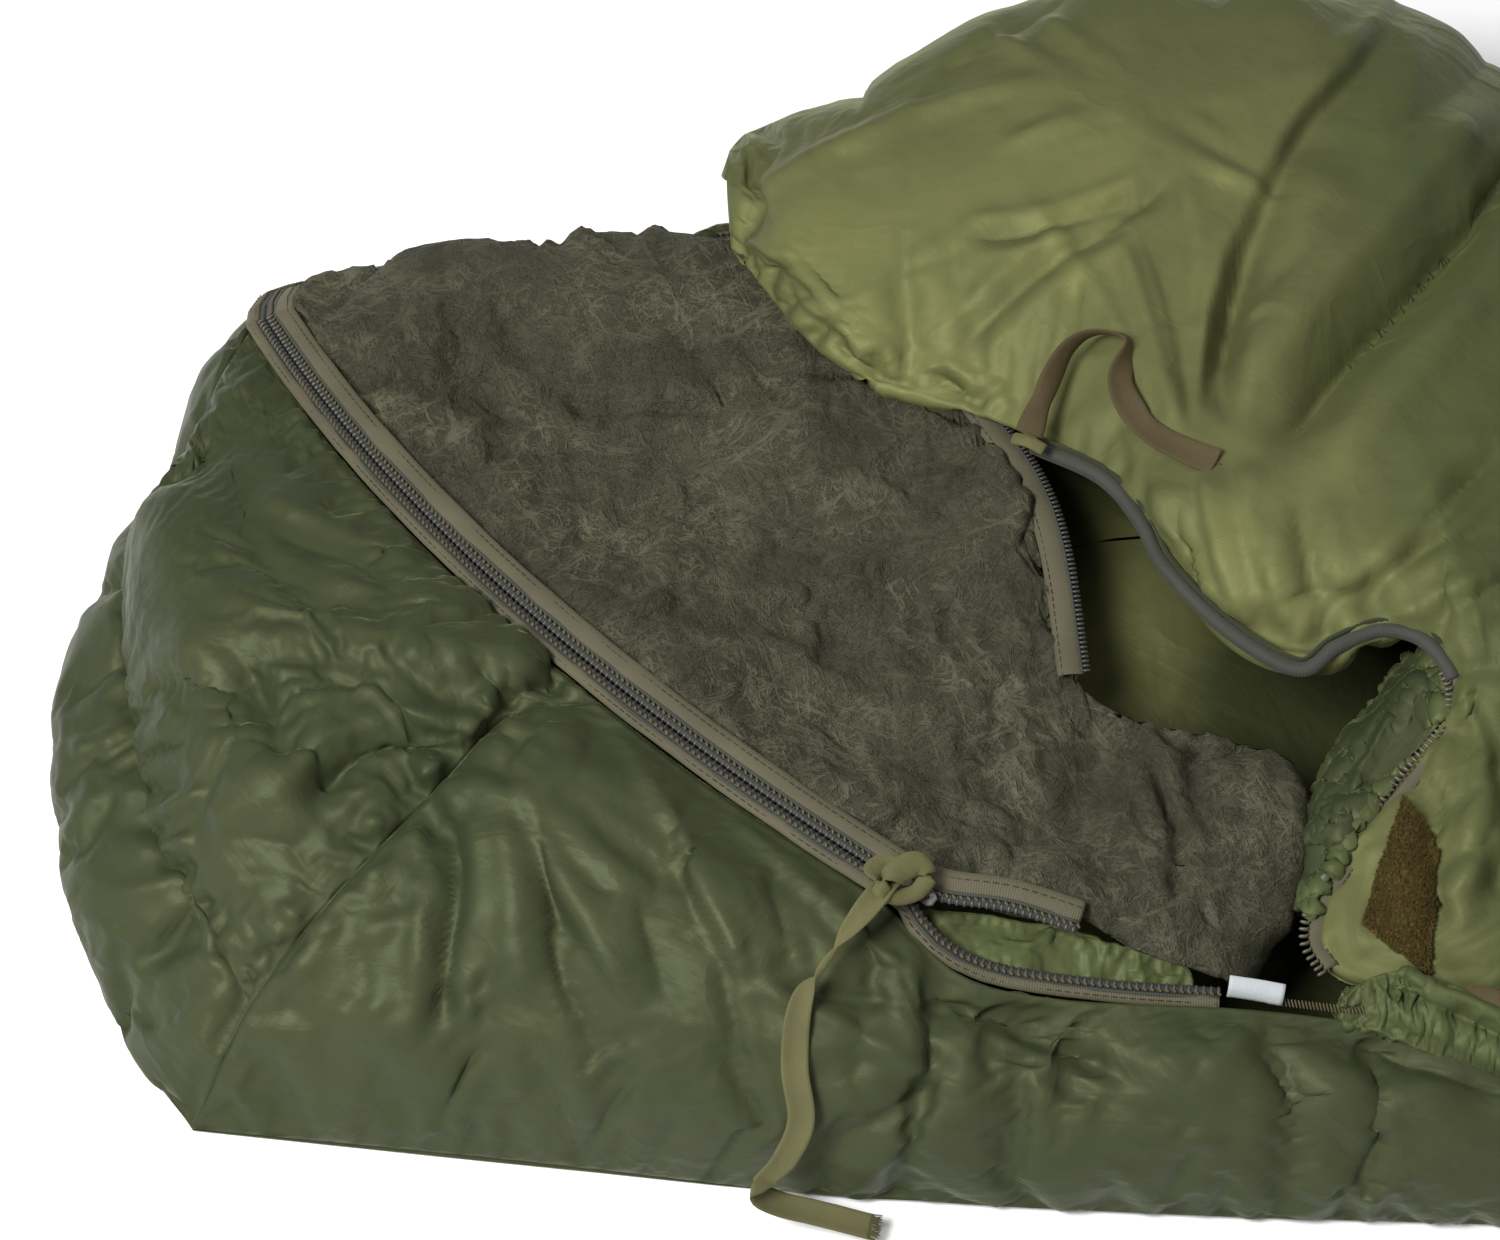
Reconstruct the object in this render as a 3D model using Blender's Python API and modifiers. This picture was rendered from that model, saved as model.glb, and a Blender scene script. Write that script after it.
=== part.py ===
"""Padded bivy sack with a gathered hood, an insect net and a chest flap, lying on its bottom pad.

Metres, +Z up. X runs along the sack, with the head at -X. The near side, with the zips, is at -Y.
The origin is on the floor below the middle of the sack. Soft pieces are plain shells at true size.
"""

import math

import bmesh
import bpy
from mathutils import Matrix, Vector

# ---- driving dimensions ----
FABRIC = 0.0012  # thickness each shell fabric is given
HOOD_LOFT = 0.013
GUSSET_LOFT = 0.009
FOOT_LOFT = 0.010
COVER_LOFT = 0.012
PAD_LOFT = 0.028
NET_THICK = 0.0010
GAP = 0.0003  # clearance between pieces that touch
LAYER_GAP = 0.0009  # clearance between the layers of a quilt, which curve
SEAM_GAP = 0.0025  # clearance between panels at a seam
FLOOR_EDGE = 0.006  # height of the side panels' lower edge

COIL_WIDTH = 0.0045  # one half of the zip chain
COIL_HEIGHT = 0.003
COIL_SPLIT = 0.0016  # slot between the halves, for the slider's bridge
TAPE_WIDTH = 0.012
TAPE_THICK = 0.0008
PULL_TAPE_WIDTH = 0.012
WEBBING_WIDTH = 0.015
WEBBING_THICK = 0.0016

SLIDER_LENGTH = 0.016
SLIDER_HALF_WIDTH = 0.0062
SLIDER_PLATE = 0.0012
BRIDGE_HALF = 0.0005
TAB_LENGTH = 0.024
TAB_AXIS_HEIGHT = 0.0046  # above the chain's middle plane

# net zip: a circular arc over the hood from the crown to the closed slider
CROWN_POINT = Vector((-1.031, 0.131, 0.100))
SLIDER_POINT = Vector((-0.716, -0.243, 0.120))
BOW_TOWARDS = Vector((-0.67, -0.54, 0.49))
BOW_DEPTH = 0.038
CHAIN_LEAN = math.radians(37)  # turns the chain's face from the arc's plane up towards +Z

# body zip: straight, from the chest to the foot
BODY_ZIP_START = Vector((-0.335, -0.300, 0.080))
BODY_ZIP_END = Vector((0.800, -0.250, 0.080))
BODY_SLIDER_AT = 0.014  # along the zip from its start
BODY_ZIP_FACE = Vector((0.0, -0.55, 0.835))

INSIDE = Vector((-0.60, 0.02, 0.03))  # a point inside the sack, which its panels face away from

FOLD_X = -0.350  # where the chest flap folds back
FOLD_GAP = 0.002

GREEN = (0.078, 0.088, 0.045)
LIGHT_GREEN = (0.20, 0.205, 0.08)
LINING_GREEN = (0.13, 0.137, 0.056)
WADDING_WHITE = (0.75, 0.75, 0.72)
NET_BROWN = (0.084, 0.083, 0.053)
TAPE_KHAKI = (0.124, 0.118, 0.075)
COIL_GREY = (0.06, 0.06, 0.055)
WEBBING_BROWN = (0.087, 0.069, 0.030)
PATCH_BROWN = (0.06, 0.046, 0.015)
METAL_GREY = (0.30, 0.31, 0.33)
PULL_OLIVE = (0.136, 0.128, 0.057)
LABEL_WHITE = (0.6, 0.6, 0.58)


# ---- scene ----
def clear_scene():
    for obj in list(bpy.data.objects):
        bpy.data.objects.remove(obj, do_unlink=True)


def new_collection(name):
    collection = bpy.data.collections.new(name)
    bpy.context.scene.collection.children.link(collection)
    return collection


def make_material(name, colour, roughness, metallic=0.0):
    material = bpy.data.materials.new(name)
    material.use_nodes = True
    shader = material.node_tree.nodes["Principled BSDF"]
    shader.inputs["Base Color"].default_value = (*colour, 1.0)
    shader.inputs["Roughness"].default_value = roughness
    shader.inputs["Metallic"].default_value = metallic
    return material


def add_object(name, data, colour, roughness, metallic=0.0, matrix=None):
    obj = bpy.data.objects.new(name, data)
    PARTS.objects.link(obj)
    obj.data.materials.append(make_material(name, colour, roughness, metallic))
    if matrix is not None:
        obj.matrix_world = matrix
    return obj


# ---- curves and surfaces ----
def catmull(a, b, c, d, t):
    """Point between b and c on the Catmull-Rom curve through a, b, c and d."""
    return 0.5 * (
        2 * b + (c - a) * t + (2 * a - 5 * b + 4 * c - d) * t**2 + (3 * b - a - 3 * c + d) * t**3
    )


def smooth_line(points, count):
    """count points, evenly spaced, on a smooth curve through the points."""
    points = [Vector(p) for p in points]
    ends = [2 * points[0] - points[1]] + points + [2 * points[-1] - points[-2]]
    dense = [
        catmull(*ends[i : i + 4], step / 12) for i in range(len(points) - 1) for step in range(12)
    ]
    dense.append(points[-1])
    along = [0.0]
    for p, q in zip(dense, dense[1:]):
        along.append(along[-1] + (q - p).length)
    result, i = [], 0
    for k in range(count):
        target = along[-1] * k / (count - 1)
        while i < len(dense) - 2 and along[i + 1] < target:
            i += 1
        span = along[i + 1] - along[i]
        result.append(dense[i].lerp(dense[i + 1], (target - along[i]) / span if span else 0.0))
    return result


def surface_grid(rows, along, across):
    """Loft section curves into a grid of points, along by across."""
    sections = [smooth_line(row, across) for row in rows]
    columns = [smooth_line([section[k] for section in sections], along) for k in range(across)]
    return [[column[i] for column in columns] for i in range(along)]


def without_rim(grid):
    return [row[1:-1] for row in grid[1:-1]]


def grid_mesh(name, grid):
    """Open triangulated surface through a grid of points, facing away from the sack's inside."""
    mesh = bpy.data.meshes.new(name)
    bm = bmesh.new()
    verts = [[bm.verts.new(p) for p in row] for row in grid]
    for i in range(len(grid) - 1):
        for k in range(len(grid[0]) - 1):
            a, b = verts[i][k], verts[i + 1][k]
            c, d = verts[i + 1][k + 1], verts[i][k + 1]
            bm.faces.new((a, b, c))
            bm.faces.new((a, c, d))
    bm.normal_update()
    outwards = sum(f.normal.dot(f.calc_center_median() - INSIDE) * f.calc_area() for f in bm.faces)
    if outwards < 0:
        bmesh.ops.reverse_faces(bm, faces=bm.faces)
    bm.to_mesh(mesh)
    bm.free()
    return mesh


def add_layer(name, mesh, depth, thickness, colour, roughness=0.6):
    """Closed shell that starts depth below the surface and is thickness deep."""
    obj = add_object(name, mesh, colour, roughness)
    solid = obj.modifiers.new("Thickness", "SOLIDIFY")
    solid.thickness = thickness
    solid.offset = -2 * depth / thickness - 1
    solid.use_even_offset = False
    for polygon in mesh.polygons:
        polygon.use_smooth = True
    return obj


def add_quilt(name, rows, along, across, loft, colours):
    """Outer fabric, wadding and lining of one padded panel."""
    outer, inner = colours
    grid = surface_grid(rows, along, across)
    add_layer(name + "_outer", grid_mesh(name + "_outer", grid), 0.0, FABRIC, outer)
    core = without_rim(grid)
    depth = FABRIC + LAYER_GAP
    add_layer(name + "_wadding", grid_mesh(name + "_wadding", core), depth, loft, WADDING_WHITE, 0.95)
    depth += loft + LAYER_GAP
    add_layer(name + "_lining", grid_mesh(name + "_lining", core), depth, FABRIC, inner)


def add_sheet(name, rows, along, across, thickness, colour, roughness=0.8):
    mesh = grid_mesh(name, surface_grid(rows, along, across))
    return add_layer(name, mesh, 0.0, thickness, colour, roughness)


def stations_on(points, sides):
    """Stations (point, side, up) along a line; up points away from the floor."""
    result = []
    for i, point in enumerate(points):
        travel = points[min(i + 1, len(points) - 1)] - points[max(i - 1, 0)]
        side = sides[i] if isinstance(sides, list) else sides
        side = (side - travel * side.dot(travel) / travel.length_squared).normalized()
        up = side.cross(travel).normalized()
        result.append((Vector(point), side, -up if up.z < 0 else up))
    return result


def add_strip(name, stations, low, high, thickness, colour, roughness=0.8, lift=0.0):
    """Flat strip through the stations, from low to high along their side directions."""
    mesh = bpy.data.meshes.new(name)
    bm = bmesh.new()
    rings = []
    for point, side, up in stations:
        near, far = point + side * low + up * lift, point + side * high + up * lift
        half = up * thickness / 2
        rings.append([bm.verts.new(c) for c in (near - half, far - half, far + half, near + half)])
    for ring, following in zip(rings, rings[1:]):
        for k in range(4):
            a, b = ring[k], ring[(k + 1) % 4]
            c, d = following[(k + 1) % 4], following[k]
            bm.faces.new((a, b, c))
            bm.faces.new((a, c, d))
    bm.faces.new(rings[0][::-1])
    bm.faces.new(rings[-1])
    bmesh.ops.recalc_face_normals(bm, faces=bm.faces)
    bm.to_mesh(mesh)
    bm.free()
    return add_object(name, mesh, colour, roughness)


def inset_outline(outline, distance):
    """Move a closed outline inwards; it runs anticlockwise seen from above."""
    result = []
    count = len(outline)
    for i in range(count):
        before, after = Vector(outline[i - 1]), Vector(outline[(i + 1) % count])
        travel = (after - before).normalized()
        result.append(Vector(outline[i]) + Vector((-travel.y, travel.x)) * distance)
    return result


def add_slab(name, outline, bottom, top, colour, roughness):
    """Flat piece with that outline, between two heights."""
    curve = bpy.data.curves.new(name, "CURVE")
    curve.dimensions = "2D"
    curve.fill_mode = "BOTH"
    curve.extrude = (top - bottom) / 2
    spline = curve.splines.new("POLY")
    spline.points.add(len(outline) - 1)
    for point, (x, y) in zip(spline.points, outline):
        point.co = (x, y, 0, 1)
    spline.use_cyclic_u = True
    obj = add_object(name, curve, colour, roughness)
    obj.location.z = (bottom + top) / 2
    weld = obj.modifiers.new("Weld", "WELD")
    weld.merge_threshold = 0.00001
    return obj


# ---- the net zip's arc ----
def arc_setup():
    """Centre, radius, axis and half angle of the circle through the crown and the slider."""
    chord = SLIDER_POINT - CROWN_POINT
    along = chord.normalized()
    bow = (BOW_TOWARDS - along * BOW_TOWARDS.dot(along)).normalized()
    radius = (chord.length**2 / 4 + BOW_DEPTH**2) / (2 * BOW_DEPTH)
    centre = (CROWN_POINT + SLIDER_POINT) / 2 - bow * (radius - BOW_DEPTH)
    half = math.asin(chord.length / 2 / radius)
    return centre, radius, along, bow, half


ARC_CENTRE, ARC_RADIUS, ARC_ALONG, ARC_BOW, ARC_HALF = arc_setup()
ARC_AXIS = ARC_BOW.cross(ARC_ALONG).normalized()  # turns the slider from the crown to its rest


def arc_frame(share):
    """Point, travel, side (towards the hood) and face direction on the arc, 0 crown to 1 slider."""
    angle = ARC_HALF * (2 * share - 1)
    radial = ARC_BOW * math.cos(angle) + ARC_ALONG * math.sin(angle)
    travel = ARC_ALONG * math.cos(angle) - ARC_BOW * math.sin(angle)
    upward = -ARC_AXIS if ARC_AXIS.z < 0 else ARC_AXIS
    face = upward * math.cos(CHAIN_LEAN) + radial * math.sin(CHAIN_LEAN)
    side = radial * math.cos(CHAIN_LEAN) - upward * math.sin(CHAIN_LEAN)
    return ARC_CENTRE + radial * ARC_RADIUS, travel, side, face


def rim(share, side, lift=0.0):
    point, _, towards_hood, face = arc_frame(share)
    return point + towards_hood * side + face * lift


HALF_OFFSET = COIL_SPLIT / 2 + COIL_WIDTH / 2
TAPE_LOW = COIL_WIDTH / 2 + GAP  # the tape's edges, from the middle of its half of the chain
TAPE_HIGH = TAPE_LOW + TAPE_WIDTH
PANEL_OFFSET = HALF_OFFSET + TAPE_HIGH + SEAM_GAP

PAST_SLIDER = 1.022  # the halves stay on the arc to here, in the shares arc_frame takes

# the zip beyond the crown, down the far side of the hood
FAR_ZIP = [(-1.030, 0.168, 0.082), (-0.996, 0.204, 0.056), (-0.926, 0.222, 0.045),
           (-0.826, 0.242, 0.042), (-0.720, 0.266, 0.041), (-0.640, 0.288, 0.040)]
# where the halves part beyond the slider
OPEN_HOOD_HALF = [(-0.696, -0.268, 0.110), (-0.670, -0.278, 0.100), (-0.620, -0.282, 0.094),
                  (-0.566, -0.284, 0.090)]
OPEN_NET_HALF = [(-0.690, -0.252, 0.118), (-0.662, -0.256, 0.117), (-0.634, -0.264, 0.112)]


def half_stations(sign):
    """Stations along one half of the net zip: 1 is the hood's half, -1 the net's."""
    down_far_side = Vector((-0.15, 0.90, -0.35))
    _, _, crown_side, _ = arc_frame(0.0)
    far = smooth_line([Vector(p) for p in reversed(FAR_ZIP)] + [arc_frame(0.0)[0]], 16)
    turning = [down_far_side.lerp(crown_side, max(0.0, (k - 9) / 6)) for k in range(16)]
    shared = stations_on(far, turning)[:-1]
    for share in [k / 14 for k in range(15)] + [PAST_SLIDER]:
        point, _, side, face = arc_frame(share)
        shared.append((point, side, face))
    result = [(point + side * sign * HALF_OFFSET, side * sign, up) for point, side, up in shared]
    loose = smooth_line([result[-1][0]] + (OPEN_HOOD_HALF if sign > 0 else OPEN_NET_HALF),
                        9 if sign > 0 else 6)
    return result + stations_on(loose, Vector((-0.1, -0.9, -0.4)) * sign)[1:]


# ---- zip hardware ----
def frame_matrix(point, travel, face):
    matrix = Matrix((travel, face.cross(travel), face)).transposed().to_4x4()
    matrix.translation = point
    return matrix


def add_slider(name, matrix):
    """I-shaped slider round the chain with a bail for the pull tab."""
    clear = COIL_HEIGHT / 2 + GAP
    top = clear + SLIDER_PLATE
    w, b = SLIDER_HALF_WIDTH, BRIDGE_HALF
    half = [(w, top), (w, clear), (b, clear), (b, -clear), (w, -clear), (w, -top)]
    outline = half + [(-y, z) for y, z in reversed(half)]
    mesh = bpy.data.meshes.new(name)
    bm = bmesh.new()
    ends = []
    for x in (-SLIDER_LENGTH / 2, SLIDER_LENGTH / 2):
        ends.append([bm.verts.new((x, y, z)) for y, z in outline])
    bm.faces.new(ends[0])
    bm.faces.new(ends[1][::-1])
    for k in range(len(outline)):
        following = (k + 1) % len(outline)
        bm.faces.new((ends[0][k], ends[1][k], ends[1][following], ends[0][following]))
    bmesh.ops.recalc_face_normals(bm, faces=bm.faces)
    bm.to_mesh(mesh)
    bm.free()
    slider = add_object(name, mesh, METAL_GREY, 0.35, 1.0, matrix)
    reach, height = 0.004, TAB_AXIS_HEIGHT + 0.0017
    path = [(-reach, top - 0.0006), (-reach, height - 0.001), (-reach + 0.001, height),
            (reach - 0.001, height), (reach, height - 0.001), (reach, top - 0.0006)]
    bail = mesh_from_wire(name + "_bail", [(x, 0, z) for x, z in path], 0.0007)
    bail.matrix_world = matrix
    join = slider.modifiers.new("Bail", "BOOLEAN")
    join.operation = "UNION"
    join.solver = "EXACT"
    join.object = bail
    return slider


def mesh_from_wire(name, points, radius):
    """Closed round wire as a mesh in the cutters' collection."""
    curve = bpy.data.curves.new(name, "CURVE")
    curve.dimensions = "3D"
    curve.bevel_depth = radius
    curve.bevel_resolution = 2
    curve.use_fill_caps = True
    spline = curve.splines.new("POLY")
    spline.points.add(len(points) - 1)
    for point, co in zip(spline.points, points):
        point.co = (*co, 1)
    temporary = bpy.data.objects.new(name, curve)
    PARTS.objects.link(temporary)
    evaluated = temporary.evaluated_get(bpy.context.evaluated_depsgraph_get())
    mesh = bpy.data.meshes.new_from_object(evaluated)
    bpy.data.objects.remove(temporary, do_unlink=True)
    bm = bmesh.new()
    bm.from_mesh(mesh)
    bmesh.ops.remove_doubles(bm, verts=bm.verts, dist=0.00001)
    bmesh.ops.recalc_face_normals(bm, faces=bm.faces)
    bm.to_mesh(mesh)
    bm.free()
    obj = bpy.data.objects.new(name, mesh)
    CUTTERS.objects.link(obj)
    obj.hide_render = True
    obj.display_type = "WIRE"
    return obj


def add_pull_tab(name, matrix, height=TAB_AXIS_HEIGHT):
    """Flat tab whose cross bar sits under the bail; its origin is on the swing axis."""
    curve = bpy.data.curves.new(name, "CURVE")
    curve.dimensions = "2D"
    curve.fill_mode = "BOTH"
    curve.extrude = 0.0006
    outer = [(-0.0006, -0.0030), (0.0075, -0.0032), (0.011, -0.0026), (TAB_LENGTH - 0.002, -0.0034),
             (TAB_LENGTH, -0.0018), (TAB_LENGTH, 0.0018), (TAB_LENGTH - 0.002, 0.0034),
             (0.011, 0.0026), (0.0075, 0.0032), (-0.0006, 0.0030)]
    window = [(0.0006, -0.0016), (0.0066, -0.0016), (0.0066, 0.0016), (0.0006, 0.0016)]
    eye = [(TAB_LENGTH - 0.0045 + 0.0014 * math.cos(k * math.pi / 4),
            0.0014 * math.sin(k * math.pi / 4)) for k in range(8)]
    for loop in (outer, window, eye):
        spline = curve.splines.new("POLY")
        spline.points.add(len(loop) - 1)
        for point, (x, y) in zip(spline.points, loop):
            point.co = (x, y, 0, 1)
        spline.use_cyclic_u = True
    tab = add_object(name, curve, METAL_GREY, 0.35, 1.0, matrix @ Matrix.Translation((0, 0, height)))
    weld = tab.modifiers.new("Weld", "WELD")
    weld.merge_threshold = 0.00001
    return tab


# ---- bottom pad ----
FLOOR_OUTLINE = [
    (-1.043, -0.302), (-0.870, -0.323), (-0.720, -0.339), (-0.440, -0.353), (0.000, -0.372),
    (0.450, -0.345), (0.800, -0.300), (0.970, -0.268), (1.070, -0.200), (1.125, -0.120),
    (1.135, 0.020), (1.125, 0.160), (1.070, 0.240), (0.970, 0.290), (0.800, 0.328), (0.450, 0.367),
    (0.000, 0.398), (-0.440, 0.394), (-0.600, 0.350), (-0.800, 0.288), (-0.900, 0.265),
    (-0.990, 0.233), (-1.045, 0.153), (-1.075, 0.067), (-1.108, 0.000), (-1.112, -0.085),
    (-1.098, -0.180), (-1.070, -0.257),
]


def build_bottom_pad():
    outer_top = 0.0015
    add_slab("pad_outer", FLOOR_OUTLINE, 0.0, outer_top, GREEN, 0.55)
    inner = inset_outline(FLOOR_OUTLINE, 0.034)
    wadding_top = outer_top + GAP + PAD_LOFT
    add_slab("pad_wadding", inner, outer_top + GAP, wadding_top, WADDING_WHITE, 0.95)
    lining_bottom = wadding_top + GAP
    add_slab("pad_lining", inner, lining_bottom, lining_bottom + FABRIC, LIGHT_GREEN, 0.5)


# ---- near side wall ----
SEAM_A = [(-0.898, -0.164, 0.130), (-0.934, -0.206, 0.120), (-0.978, -0.252, 0.096),
          (-1.014, -0.285, 0.056), (-1.040, -0.302, FLOOR_EDGE)]


def body_rim(x, side):
    """Point on the body zip's line at that x, moved sideways on the zip's face."""
    share = (x - BODY_ZIP_START.x) / (BODY_ZIP_END.x - BODY_ZIP_START.x)
    _, across, _ = body_zip_axes()
    return BODY_ZIP_START.lerp(BODY_ZIP_END, share) + across * side


def body_zip_axes():
    """Travel, side (towards the cover) and face directions of the body zip."""
    travel = (BODY_ZIP_END - BODY_ZIP_START).normalized()
    face = (BODY_ZIP_FACE - travel * BODY_ZIP_FACE.dot(travel)).normalized()
    return travel, face.cross(travel).normalized(), face


def build_near_side():
    edge = FLOOR_EDGE
    rows = [
        [rim(0.67, PANEL_OFFSET)] + SEAM_A,
        [rim(0.80, PANEL_OFFSET), (-0.842, -0.262, 0.116), (-0.866, -0.308, 0.070),
         (-0.884, -0.321, edge)],
        [rim(0.99, PANEL_OFFSET + SEAM_GAP), (-0.740, -0.302, 0.096), (-0.746, -0.334, 0.052),
         (-0.750, -0.337, edge)],
        [(-0.700, -0.291, 0.099), (-0.703, -0.314, 0.084), (-0.705, -0.338, 0.048),
         (-0.708, -0.340, edge)],
        [(-0.646, -0.306, 0.085), (-0.648, -0.324, 0.074), (-0.652, -0.343, 0.044),
         (-0.655, -0.344, edge)],
        [(-0.520, -0.306, 0.074), (-0.520, -0.326, 0.066), (-0.520, -0.350, 0.040),
         (-0.520, -0.349, edge)],
        [body_rim(-0.420, -PANEL_OFFSET), (-0.420, -0.335, 0.058), (-0.420, -0.357, 0.037),
         (-0.420, -0.353, edge)],
        [body_rim(-0.335, -PANEL_OFFSET), (-0.335, -0.338, 0.058), (-0.335, -0.361, 0.036),
         (-0.335, -0.358, edge)],
        [body_rim(0.0, -PANEL_OFFSET), (0.0, -0.338, 0.062), (0.0, -0.375, 0.038),
         (0.0, -0.370, edge)],
        [body_rim(0.45, -PANEL_OFFSET), (0.45, -0.316, 0.062), (0.45, -0.349, 0.036),
         (0.45, -0.343, edge)],
        [body_rim(0.805, -PANEL_OFFSET), (0.805, -0.286, 0.060), (0.805, -0.304, 0.034),
         (0.805, -0.298, edge)],
    ]
    add_quilt("side_wall", rows, 22, 6, HOOD_LOFT, (GREEN, LINING_GREEN))


# ---- hood ----
def build_hood():
    crown = [
        [rim(0.03, PANEL_OFFSET + SEAM_GAP), (-1.058, 0.078, 0.094), (-1.066, 0.044, 0.088)],
        [rim(0.22, PANEL_OFFSET), (-1.020, 0.016, 0.134), (-1.064, -0.012, 0.124),
         (-1.088, -0.026, 0.088)],
        [rim(0.40, PANEL_OFFSET), (-0.980, -0.070, 0.148), (-1.036, -0.108, 0.136),
         (-1.078, -0.122, 0.088)],
        [rim(0.55, PANEL_OFFSET), (-0.944, -0.128, 0.146), (-1.000, -0.186, 0.128),
         (-1.052, -0.214, 0.084)],
        [rim(0.645, PANEL_OFFSET), (-0.904, -0.160, 0.131), (-0.938, -0.201, 0.121),
         (-0.982, -0.247, 0.098), (-1.014, -0.277, 0.066)],
    ]
    add_quilt("hood_crown", crown, 10, 8, HOOD_LOFT, (GREEN, LINING_GREEN))
    edge = FLOOR_EDGE
    gusset = [
        [(-1.026, -0.288, 0.052), (-1.038, -0.297, 0.028), (-1.046, -0.300, edge)],
        [(-1.058, -0.236, 0.079), (-1.082, -0.245, 0.052), (-1.072, -0.256, edge)],
        [(-1.084, -0.166, 0.084), (-1.108, -0.176, 0.054), (-1.100, -0.180, edge)],
        [(-1.096, -0.098, 0.084), (-1.121, -0.092, 0.052), (-1.114, -0.085, edge)],
        [(-1.096, -0.018, 0.083), (-1.119, -0.008, 0.050), (-1.110, 0.000, edge)],
        [(-1.072, 0.050, 0.085), (-1.088, 0.062, 0.052), (-1.078, 0.067, edge)],
        [(-1.060, 0.130, 0.086), (-1.067, 0.148, 0.052), (-1.051, 0.155, edge)],
        [(-1.020, 0.229, 0.048), (-1.018, 0.240, 0.026), (-1.006, 0.234, edge)],
        [(-0.930, 0.248, 0.038), (-0.928, 0.262, 0.022), (-0.922, 0.263, edge)],
        [(-0.810, 0.271, 0.036), (-0.808, 0.286, 0.021), (-0.806, 0.288, edge)],
        [(-0.700, 0.298, 0.035), (-0.698, 0.314, 0.020), (-0.698, 0.318, edge)],
        [(-0.630, 0.318, 0.034), (-0.626, 0.334, 0.020), (-0.624, 0.338, edge)],
    ]
    add_quilt("hood_gusset", gusset, 20, 4, GUSSET_LOFT, (GREEN, LINING_GREEN))


# ---- net ----
def build_net():
    rows = [
        [rim(0.05, -PANEL_OFFSET), (-1.000, 0.140, 0.102), (-0.990, 0.164, 0.094),
         (-0.986, 0.184, 0.078)],
        [rim(0.25, -PANEL_OFFSET), (-0.940, 0.100, 0.110), (-0.932, 0.165, 0.102),
         (-0.926, 0.204, 0.066)],
        [rim(0.50, -PANEL_OFFSET), (-0.872, 0.040, 0.107), (-0.862, 0.160, 0.103),
         (-0.852, 0.216, 0.064)],
        [rim(0.75, -PANEL_OFFSET), (-0.795, -0.040, 0.104), (-0.785, 0.100, 0.102),
         (-0.780, 0.180, 0.100), (-0.772, 0.232, 0.062)],
        [rim(0.97, -PANEL_OFFSET), (-0.712, -0.100, 0.100), (-0.712, 0.050, 0.100),
         (-0.708, 0.180, 0.100), (-0.704, 0.248, 0.062)],
        [(-0.650, -0.236, 0.112), (-0.648, -0.140, 0.097), (-0.660, -0.010, 0.104),
         (-0.684, 0.060, 0.104), (-0.680, 0.180, 0.098), (-0.674, 0.256, 0.062)],
    ]
    add_sheet("net_panel", rows, 12, 12, NET_THICK, NET_BROWN, 0.9)
    gathers = [
        [(-0.629, -0.246, 0.106), (-0.626, -0.190, 0.098), (-0.622, -0.130, 0.098)],
        [(-0.575, -0.262, 0.096), (-0.572, -0.200, 0.097), (-0.572, -0.144, 0.098)],
        [(-0.534, -0.250, 0.088), (-0.530, -0.205, 0.091), (-0.530, -0.158, 0.094)],
    ]
    add_sheet("net_gathers", gathers, 6, 6, NET_THICK, NET_BROWN, 0.9)
    chest = smooth_line([(-0.680, 0.080, 0.1115), (-0.658, 0.040, 0.1175), (-0.640, 0.000, 0.1175),
                         (-0.631, -0.042, 0.1145), (-0.628, -0.112, 0.1055)], 10)
    stations = stations_on(chest, Vector((1.0, 0.12, 0.05)))
    add_strip("chest_tape", stations, -0.008, 0.004, TAPE_THICK, TAPE_KHAKI)
    add_strip("chest_coil", stations, 0.0043, 0.0088, 0.0024, COIL_GREY, 0.5)


def build_net_zip():
    half_coil = COIL_WIDTH / 2
    for side_name, sign in (("hood", 1), ("net", -1)):
        stations = half_stations(sign)
        add_strip("net_zip_coil_" + side_name, stations, -half_coil, half_coil, COIL_HEIGHT,
                  COIL_GREY, 0.5)
        add_strip("net_zip_tape_" + side_name, stations, TAPE_LOW, TAPE_HIGH, TAPE_THICK, TAPE_KHAKI)
    point, travel, _, face = arc_frame(1.0)
    matrix = frame_matrix(point, travel, face)
    add_slider("net_zip_slider", matrix)
    add_pull_tab("net_zip_pull", matrix)
    strip = smooth_line([(-0.676, -0.264, 0.100), (-0.655, -0.266, 0.095), (-0.610, -0.266, 0.088),
                         (-0.575, -0.268, 0.084)], 8)
    add_strip("zip_draft_strip", stations_on(strip, Vector((0.05, -0.9, -0.4))), -0.007, 0.007,
              FABRIC, LIGHT_GREEN, 0.5)
    label = [Vector((-0.560, -0.268, 0.0935)), Vector((-0.540, -0.268, 0.0925))]
    add_strip("side_label", stations_on(label, Vector((0.0, -0.7, -0.7))), -0.005, 0.005, 0.0008,
              LABEL_WHITE, 0.6)


PULL_TAPE_ROUTE = [(-0.7060, -0.2560, 0.1300), (-0.724, -0.2700, 0.130), (-0.744, -0.288, 0.122),
                   (-0.757, -0.306, 0.108), (-0.760, -0.326, 0.088), (-0.757, -0.340, 0.066),
                   (-0.764, -0.347, 0.042), (-0.774, -0.348, 0.020), (-0.776, -0.352, 0.008),
                   (-0.766, -0.358, 0.0035), (-0.748, -0.364, 0.0030), (-0.724, -0.368, 0.0028)]


def build_pull_tape():
    line = smooth_line(PULL_TAPE_ROUTE, 24)
    hanging, lying = Vector((1.0, 0.1, 0.0)), Vector((0.2, 1.0, 0.0))
    sides = [hanging if k < 18 else lying for k in range(24)]
    half = PULL_TAPE_WIDTH / 2
    add_strip("pull_tape", stations_on(line, sides), -half, half, 0.0012, PULL_OLIVE)


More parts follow.
